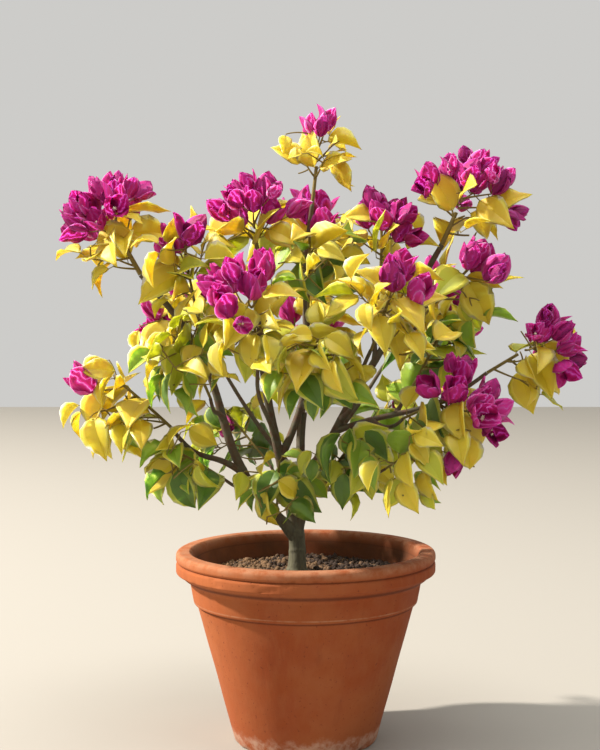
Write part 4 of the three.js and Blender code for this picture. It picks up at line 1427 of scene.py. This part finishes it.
def pot_outline():
    """The pot's section, from the middle of its underside round to the middle of its floor."""
    wall = [(0, 0), *arc(79.5, 3.5, 3.5, -90, -10, 5), (wall_radius(158), 158), (wall_radius(161), 161)]
    collar = [(128.4, 161.6), (129.6, 162.6), (130, 165), (133.4, 184), (134.6, 186.5), (141, 191)]
    bead = [(146.2, 195.8), (146.8, 196.4), (149.4, 197), (149.9, 198.2), (149.9, 202), (149.9, 206)]
    groove = [(149.2, 207.6), (147.2, 208.9), (148.8, 210.2), (150, 212)]
    lip = [*arc(145, 216, 5, 0, 90, 6), (134.7, 221), (131.7, 218.5)]
    hollow = [(127, 205), (75, 20), (68, 14), (0, 14)]
    return wall + collar + bead + groove + lip + hollow


def pot_chips():
    """The knocks that the clay has had: angle, height, size and depth share."""
    draw = seeded(91)
    chips = list(CHIPS)
    for count, heights, sizes, depths in STREWN_CHIPS:
        for _ in range(count):
            chips.append((draw(0, 2 * math.pi), draw(*heights), draw(*sizes), draw(*depths)))
    return chips


def pot_relief(chip_depth):
    """How far the clay stands out of its section: a hand-turned wobble, faint rings, dents and chips."""
    chips = pot_chips()
    floor_radius, skin = 60, 1.7

    def relief(angle, radius, height):
        if radius < floor_radius:
            return 0, 0
        x, y = math.cos(angle), math.sin(angle)
        wobble = 0.35 * math.sin(2 * angle + 0.6) + 0.25 * math.sin(3 * angle + 2.0)
        rings = 0.04 * noise.noise(Vector((0.4 * x, 0.4 * y, 0.42 * height)))
        dents = 0.55 * noise.noise(Vector((2.2 * x, 2.2 * y, 0.022 * height)) + UP * 7)
        out = wobble + rings + dents
        outside = radius > wall_radius(height) - skin
        for chip_angle, chip_height, size, depth in chips if outside else ():
            around = ((angle - chip_angle + math.pi) % (2 * math.pi) - math.pi) * radius
            away = math.hypot(around / 1.7, height - chip_height) / size
            if away < 1.6:
                ragged = 1 + 0.5 * noise.noise(Vector((around, height, size)))
                out -= chip_depth * depth * ragged * math.exp(-3 * away * away)
        return out, 0.35 * math.sin(angle + 1.1) * (height / POT["height"])

    return relief


def make_pot_piece(settings):
    section = thinned(softened(pot_outline(), POT["step"]), POT["longest"])
    corners, faces = turned(section, POT["facets"], pot_relief(settings.chip_depth / MM))
    wide, tall = settings.rim_radius / POT["radius"], settings.height / POT["height"]
    scaled = [(x * wide, y * wide, z * tall) for x, y, z in corners]
    pot = finished("terracotta_pot", scaled, faces, clay_finish(settings))
    return keep(pot, "terracotta", "pot")


def soil_height(x, y, level):
    """The height of the clods: lumpy, a little lower towards the wall."""
    coarse = 3.4 * noise.noise(Vector((x, y, 0)) * 0.045)
    clods = 2.6 * noise.noise(Vector((x, y, 30)) * 0.12) + 1.5 * noise.noise(Vector((x, y, 60)) * 0.3)
    return level + coarse + clods - 1.5 - 3 * (math.hypot(x, y) / 125) ** 4


def make_soil_piece(settings):
    """A lumpy top that closes down to a flat underside, hidden in the pot."""
    level, edge, rings = settings.soil_level / MM, SOIL["edge"], SOIL["rings"]
    profile = [(0, SOIL["underside"]), (edge - 6, SOIL["underside"])]
    profile += [(edge * (1 - i / rings), level) for i in range(rings)] + [(0, level)]

    def relief(angle, radius, height):
        if height < level:
            return 0, 0
        return 0, soil_height(radius * math.cos(angle), radius * math.sin(angle), level) - level

    corners, faces = turned(profile, SOIL["facets"], relief)
    corners[-1].z = soil_height(0, 0, level)
    soil = finished("potting_soil", [corner * MM for corner in corners], faces, soil_finish(settings))
    return keep(soil, "soil", "soil")


def crumb_shape(seed):
    """A small broken lump: the hull of points strewn about a ball."""
    draw = seeded(seed)
    count = 14
    shape = bmesh.new()
    for k in range(count):
        out = direction_of(k, count) * draw(0.72, 1.15)
        shape.verts.new((out.x * draw(0.85, 1.2), out.y, out.z * draw(0.6, 0.9)))
    made = bmesh.ops.convex_hull(shape, input=shape.verts)
    loose = [v for v in made["geom_interior"] if isinstance(v, bmesh.types.BMVert)]
    bmesh.ops.delete(shape, geom=loose, context="VERTS")
    shape.verts.index_update()
    corners = [v.co.copy() for v in shape.verts]
    faces = [tuple(v.index for v in f.verts) for f in shape.faces]
    shape.free()
    return corners, faces, (), frozenset()


def make_crumb_piece(settings, seed):
    """Crumbs on a copy of the soil's top that keeps clear of the trunk and the wall."""
    level = settings.soil_level / MM
    first, last, rings, facets, lift = CRUMB_BED.values()
    corners = []
    for ring in range(rings + 1):
        radius = first + (last - first) * ring / rings
        for angle in angles(facets):
            x = TRUNK["foot"][0] * (1 - ring / rings) + radius * math.cos(angle)
            y = radius * math.sin(angle)
            corners.append(Vector((x, y, soil_height(x, y, level) + lift)) * MM)
    bed = linked("crumb_bed", plain_mesh("crumb_bed", corners, [], list(sheet(rings, facets))))
    shapes = shape_collection("crumb", [crumb_shape(200 + k) for k in range(CRUMBS["shapes"])])
    piece = plain_result(
        bed,
        crumbs_tree(),
        "soil_crumbs",
        Shapes=shapes,
        Crumb=crumb_finish(settings),
        Size=settings.crumb_size,
        Spacing=settings.crumb_spacing,
        Seed=seed,
    )
    clear_collection(shapes)
    return keep(piece, "soil")


# ---------------------------------------------------------------------------- wood

BARK = {"trunk_step": 1.1, "step": 2.6, "trunk_sides": 56, "sides": 12, "thin": 3.3, "thin_sides": 9}
COLLAR = {"swell": 0.38, "reach": 2.2, "trunk_reach": 5}  # of a limb, as shares of its radius; of the trunk
TWIG_SIDES = 5


def bark_relief(amplitude):
    """Ridges that run along old wood and fade on young wood, with a swelling at every old leaf's place."""

    def relief(point, out, run, radius):
        age = clamp((radius - 2) / 8)
        along = out * (1.3 * radius) + Vector((0, 0, 0.09 * point.z))
        ridges = abs(noise.noise(along * 0.75)) + 0.5 * noise.noise(along * 1.9 + UP * 9)
        lumps = noise.noise(point * 0.05 + out * 0.4)
        knot = max(0.0, math.sin(run * 0.32 + 2 * lumps)) ** 6
        return amplitude * age * (1.6 * ridges - 0.5) + radius * (0.07 * lumps + 0.05 * knot)

    return relief


def bark_of(name, limb):
    """Points, radii and sides of a limb's bark, with a collar where it leaves its parent."""
    trunk = name == "trunk"
    count = max(8, round(limb.length / BARK["trunk_step" if trunk else "step"]))
    sides = BARK["trunk_sides" if trunk else "sides" if limb.root_radius > BARK["thin"] else "thin_sides"]
    points, radii = [], []
    for i, (point, radius) in enumerate(sample(limb.at, count)):
        swell, reach = COLLAR["swell"] * radius, COLLAR["reach"] * radius
        if trunk:
            swell, reach = TRUNK["flare"], COLLAR["trunk_reach"]
        points.append(point)
        radii.append(radius + swell * math.exp(-(limb.length * i / count) / reach))
    if trunk:
        points[0] = points[0] - UP * 3
        top = points[-1]
        points += [top + UP * 2.5, top + UP * 4.5]
        radii += [radii[-1] * 0.8, radii[-1] * 0.4]
    elif name.startswith("stub"):
        radii[-1] *= 0.85
    return points, radii, sides


def make_bark_piece(settings, limbs):
    """The trunk, the boughs and the stubs, with the bark's relief."""
    relief = bark_relief(settings.relief / MM)
    corners, faces = [], []
    for name, limb in limbs.items():
        made, sheets = tube(*bark_of(name, limb), relief)
        faces += [tuple(i + len(corners) for i in face) for face in sheets]
        corners += made
    bark = finished("bark", [corner * MM for corner in corners], faces, bark_finish(settings))
    return keep(bark, "bark", *LIMB_NODES)


def make_twig_piece(settings, masses):
    """All the finer wood, from each bough's tip to the leaf stalks."""
    corners, edges, girths = [], [], []
    for twig in (twig for mass in masses for twig in mass.twigs):
        first = len(corners)
        corners += [point * MM for point in twig.points]
        girths += [radius * MM for radius in twig.radii]
        edges += [(first + i, first + i + 1) for i in range(len(twig.points) - 1)]
    mesh = plain_mesh("twig_paths", corners, edges, [])
    mark(mesh, "girth", "FLOAT", "POINT", girths)
    finish = plain_finish("green_wood", settings.twig, 0.6)
    twigs = plain_result(linked("twig_paths", mesh), rods_tree(), "twigs", Sides=TWIG_SIDES, Bark=finish)
    twigs.data.shade_smooth()
    return keep(twigs, "young_bark", *MASS_NODES)


# ---------------------------------------------------------------------------- leaves and blossom

# Half widths along a blade of length 1: (share along, half width).
LEAF_HALF_WIDTHS = (
    (0.0, 0.012), (0.08, 0.17), (0.22, 0.31), (0.38, 0.33), (0.55, 0.27), (0.72, 0.155), (0.87, 0.06)
)
BRACT_HALF_WIDTHS = (
    (0.0, 0.07), (0.12, 0.26), (0.28, 0.37), (0.46, 0.395), (0.64, 0.35), (0.8, 0.25), (0.92, 0.125)
)
COLUMNS = (-1, -0.68, 0, 0.68, 1)  # shares across; the outermost strips are the rim
BRACT_THICKNESS = 0.014
LEAF_GLOSS = (0.5, 0.45, 0.85)  # roughness, specular level and glow
BRACT_GLOSS = (0.62, 0.25, 0.6)
FLOWER_ROUGHNESS = 0.6


def blade_shape(half_widths, place, thickness):
    """A thin closed blade: a top of four strips, an underside of two, and a pointed tip.

    place(share along, share across, half width, depth below the top) gives a corner.
    """
    corners, faces, rims, rows = [], [], [], []
    for along, half in half_widths:
        first = len(corners)
        corners += [place(along, across, half, 0) for across in COLUMNS]
        rows.append((range(first, len(corners)), len(corners)))
        corners.append(place(along, 0, half, thickness))
    tip = len(corners)
    corners.append(place(1.0, 0, 0, 0))
    outermost = (0, len(COLUMNS) - 2)
    for (low, low_keel), (high, high_keel) in pairwise(rows):
        rims += [len(faces) + k for k in outermost]
        faces += [(low[k], low[k + 1], high[k + 1], high[k]) for k in range(len(COLUMNS) - 1)]
        faces += [(low_keel, low[0], high[0], high_keel), (low[-1], low_keel, high_keel, high[-1])]
    last, keel = rows[-1]
    rims += [len(faces) + k for k in outermost]
    faces += [(last[k], last[k + 1], tip) for k in range(len(COLUMNS) - 1)]
    faces += [(keel, last[0], tip), (last[-1], keel, tip)]
    first, keel = rows[0]
    faces.append((keel, *reversed(first)))
    return corners, faces, rims, frozenset([top[2] for top, _ in rows] + [tip])


def leaf_shape(fold, arch, twist, wave, thickness):
    """A broad leaf that narrows to a drawn-out tip, folded up along its midrib and arched down to the tip."""

    def place(along, across, half, depth):
        x = across * half
        z = fold * abs(x) + 0.016 * math.sin(math.pi * abs(across)) * (1 if depth == 0 else 0)
        z += wave * across * across * math.sin(9.5 * along + 2.2 * across)
        z -= depth
        angle = twist * along
        x, z = x * math.cos(angle) - z * math.sin(angle), x * math.sin(angle) + z * math.cos(angle)
        bend = arch * along
        y = along if abs(bend) < 1e-3 else math.sin(bend) / arch
        drop = 0 if abs(bend) < 1e-3 else (1 - math.cos(bend)) / arch
        return Vector((x, y + z * math.sin(bend), z * math.cos(bend) - drop))

    return blade_shape(LEAF_HALF_WIDTHS, place, thickness)


def bract_shape(hollow, flare, seed):
    """A papery bract along +Y, hollow towards +Z, with a keel below, crinkled sides and a flaring tip."""
    draw = seeded(seed)
    crinkle = {}

    def place(along, across, half, depth):
        lift = crinkle.setdefault((along, across), draw(-0.016, 0.016)) if along < 1 else 0
        x = across * half
        z = -hollow * math.sin(math.pi * min(1, along * 1.08)) - flare * along ** 4
        z += 1.15 * x * x + lift + 0.02 * math.sin(11 * along + 1.5 * across) * abs(across)
        return Vector((x, along, z - depth))

    return blade_shape(BRACT_HALF_WIDTHS, place, BRACT_THICKNESS)


def floret_shape():
    """A slender tube along +Y with a five-pointed mouth, for a cup of length 1."""
    end = Vector((0, 0.52, 0))
    corners, faces = tube([end * 0.08, end * 0.7, end], [0.018, 0.026, 0.034], 5)
    mouth = Frame(Vector((0, 1, 0)))
    middle = len(corners)
    corners += [end + mouth.axis * 0.012, end - mouth.axis * 0.008]
    for point in range(10):
        reach = 0.1 if point % 2 == 0 else 0.045
        corners.append(end + mouth.around(math.pi * point / 5) * reach + mouth.axis * 0.012)
    rims = range(len(faces), len(faces) + 20)
    for point in range(10):
        a, b = middle + 2 + point, middle + 2 + (point + 1) % 10
        faces += [(middle, a, b), (middle + 1, b, a)]
    return corners, faces, rims, frozenset()


def scatter_by_tint(name, kind, tints, blades, shapes, settings, slot_name, gloss):
    """One piece for each tint, in that tint and its edge colour."""
    for tint in tints:
        finishes = [
            plain_finish(f"{tint}_{kind}{part}", getattr(settings, tint + part), *gloss)
            for part in ("", "_rim")
        ]
        alike = [blade for blade in blades if blade.tint == tint]
        scatter(f"{name}_{tint}", alike, shapes, finishes, slot_name)
    clear_collection(shapes)


def make_leaf_pieces(settings, masses):
    """One piece for each tint, from the shaded leaves inside to the golden ones at the tips."""
    shapes = shape_collection("leaf", [leaf_shape(*form, settings.thickness) for form in LEAF_FORMS])
    leaves = [leaf for mass in masses for leaf in mass.leaves]
    scatter_by_tint("leaves", "leaf", TINTS, leaves, shapes, settings, "foliage", LEAF_GLOSS)


def make_blossom_pieces(settings, masses):
    """One piece for each tint of bracts, and one for the small flowers in them."""
    bracts = [bract for mass in masses for bract in mass.bracts()]
    florets = [floret for mass in masses for floret in mass.florets()]
    shapes = shape_collection("bract", [bract_shape(*form) for form in BRACT_FORMS])
    scatter_by_tint("bracts", "bract", BRACT_TINTS, bracts, shapes, settings, "bracts", BRACT_GLOSS)
    finishes = [
        plain_finish(f"flower_{part}", getattr(settings, part), FLOWER_ROUGHNESS) for part in ("tube", "star")
    ]
    shapes = shape_collection("floret", [floret_shape()])
    scatter("small_flowers", florets, shapes, finishes, "bracts")
    clear_collection(shapes)


# ---------------------------------------------------------------------------- stage

EYE = Vector((-6.4, -1550, 486)) * MM
TILT = math.radians(2.32)
LENS = 64.4
LIT_PLACE = Vector((0, 0, 0.4))  # where the lamps point
LAMPS = [  # name, place, size, power and tint
    ("key", (-6.05, 0.4, 5.2), 0.4, 1290, (1, 0.93, 0.84)),
    ("sky", (0.5, -0.8, 4.6), 2.4, 110, (1, 0.98, 0.95)),
]
FLOOR_HALF = 6.0
WORLD_STRENGTH = 0.87


def add_lamp(name, place, size, power, tint):
    data = bpy.data.lights.new(name, "AREA")
    data.shape = "DISK"
    data.size = size
    data.energy = power
    data.color = tint
    lamp = linked(name, data)
    lamp.location = place
    lamp.rotation_euler = (LIT_PLACE - Vector(place)).to_track_quat("-Z", "Y").to_euler()


def make_camera():
    data = bpy.data.cameras.new("camera")
    data.lens = LENS
    data.sensor_width = 36
    camera = linked("camera", data)
    camera.location = EYE
    camera.rotation_euler = (math.pi / 2 - TILT, 0, 0)
    bpy.context.scene.camera = camera


def make_floor():
    corners = [(x * FLOOR_HALF, y * FLOOR_HALF, 0) for x, y in ((-1, -1), (1, -1), (1, 1), (-1, 1))]
    finish = plain_finish("pale_floor", from_hex("A5A199"), 0.9, 0.2)
    finished("floor", corners, [(0, 1, 2, 3)], finish)


def make_world():
    world = bpy.data.worlds.new("studio")
    world.use_nodes = True
    background = world.node_tree.nodes["Background"]
    background.inputs["Color"].default_value = (*from_hex("DAD9D6"), 1)
    background.inputs["Strength"].default_value = WORLD_STRENGTH
    bpy.context.scene.world = world


# ---------------------------------------------------------------------------- operators


class BUSH_OT_stage(bpy.types.Operator):
    """Make the floor, the lights and the camera"""

    bl_idname = "bush.make_stage"
    bl_label = "Make stage"

    def execute(self, context):
        make_camera()
        make_floor()
        make_world()
        for lamp in LAMPS:
            add_lamp(*lamp)
        context.scene.view_settings.view_transform = "Standard"
        return {"FINISHED"}


class BUSH_OT_pot(bpy.types.Operator):
    """Make the terracotta pot"""

    bl_idname = "bush.make_pot"
    bl_label = "Make pot"

    def execute(self, context):
        make_pot_piece(context.scene.bush.pot)
        return {"FINISHED"}


class BUSH_OT_soil(bpy.types.Operator):
    """Make the soil and the crumbs on it"""

    bl_idname = "bush.make_soil"
    bl_label = "Make soil"

    def execute(self, context):
        make_soil_piece(context.scene.bush.pot)
        make_crumb_piece(context.scene.bush.pot, context.scene.bush.seed)
        return {"FINISHED"}


class BUSH_OT_wood(bpy.types.Operator):
    """Make the bark of the trunk and boughs, and the twigs"""

    bl_idname = "bush.make_wood"
    bl_label = "Make wood"

    def execute(self, context):
        limbs, masses = grow_bush(context.scene.bush.seed)
        make_bark_piece(context.scene.bush.wood, limbs)
        make_twig_piece(context.scene.bush.wood, masses)
        return {"FINISHED"}


class BUSH_OT_leaves(bpy.types.Operator):
    """Make the leaves"""

    bl_idname = "bush.make_leaves"
    bl_label = "Make leaves"

    def execute(self, context):
        _, masses = grow_bush(context.scene.bush.seed)
        make_leaf_pieces(context.scene.bush.leaf, masses)
        return {"FINISHED"}


class BUSH_OT_blossom(bpy.types.Operator):
    """Make the bracts and the small flowers"""

    bl_idname = "bush.make_blossom"
    bl_label = "Make blossom"

    def execute(self, context):
        _, masses = grow_bush(context.scene.bush.seed)
        make_blossom_pieces(context.scene.bush.blossom, masses)
        return {"FINISHED"}


OPERATORS = (BUSH_OT_stage, BUSH_OT_pot, BUSH_OT_soil, BUSH_OT_wood, BUSH_OT_leaves, BUSH_OT_blossom)
GROUPS = (PotSettings, WoodSettings, LeafSettings, BlossomSettings, BushSettings)


class BUSH_PT_panel(bpy.types.Panel):
    """The bush's settings and the steps that make it"""

    bl_label = "Bougainvillea"
    bl_idname = "BUSH_PT_panel"
    bl_space_type = "VIEW_3D"
    bl_region_type = "UI"
    bl_category = "Bush"

    def draw(self, context):
        settings = context.scene.bush
        self.layout.prop(settings, "seed")
        for part in ("pot", "wood", "leaf", "blossom"):
            box = self.layout.box()
            for key in getattr(settings, part).__annotations__:
                box.prop(getattr(settings, part), key)
        for operator in OPERATORS:
            self.layout.operator(operator.bl_idname)


def register():
    for group in (*GROUPS, *OPERATORS, BUSH_PT_panel):
        bpy.utils.register_class(group)
    bpy.types.Scene.bush = PointerProperty(type=BushSettings)


def unregister():
    del bpy.types.Scene.bush
    for group in reversed((*GROUPS, *OPERATORS, BUSH_PT_panel)):
        bpy.utils.unregister_class(group)


def main():
    register()
    bpy.ops.bush.make_stage()
    bpy.ops.bush.make_pot()
    bpy.ops.bush.make_soil()
    bpy.ops.bush.make_wood()
    bpy.ops.bush.make_leaves()
    bpy.ops.bush.make_blossom()


if __name__ == "__main__":
    main()
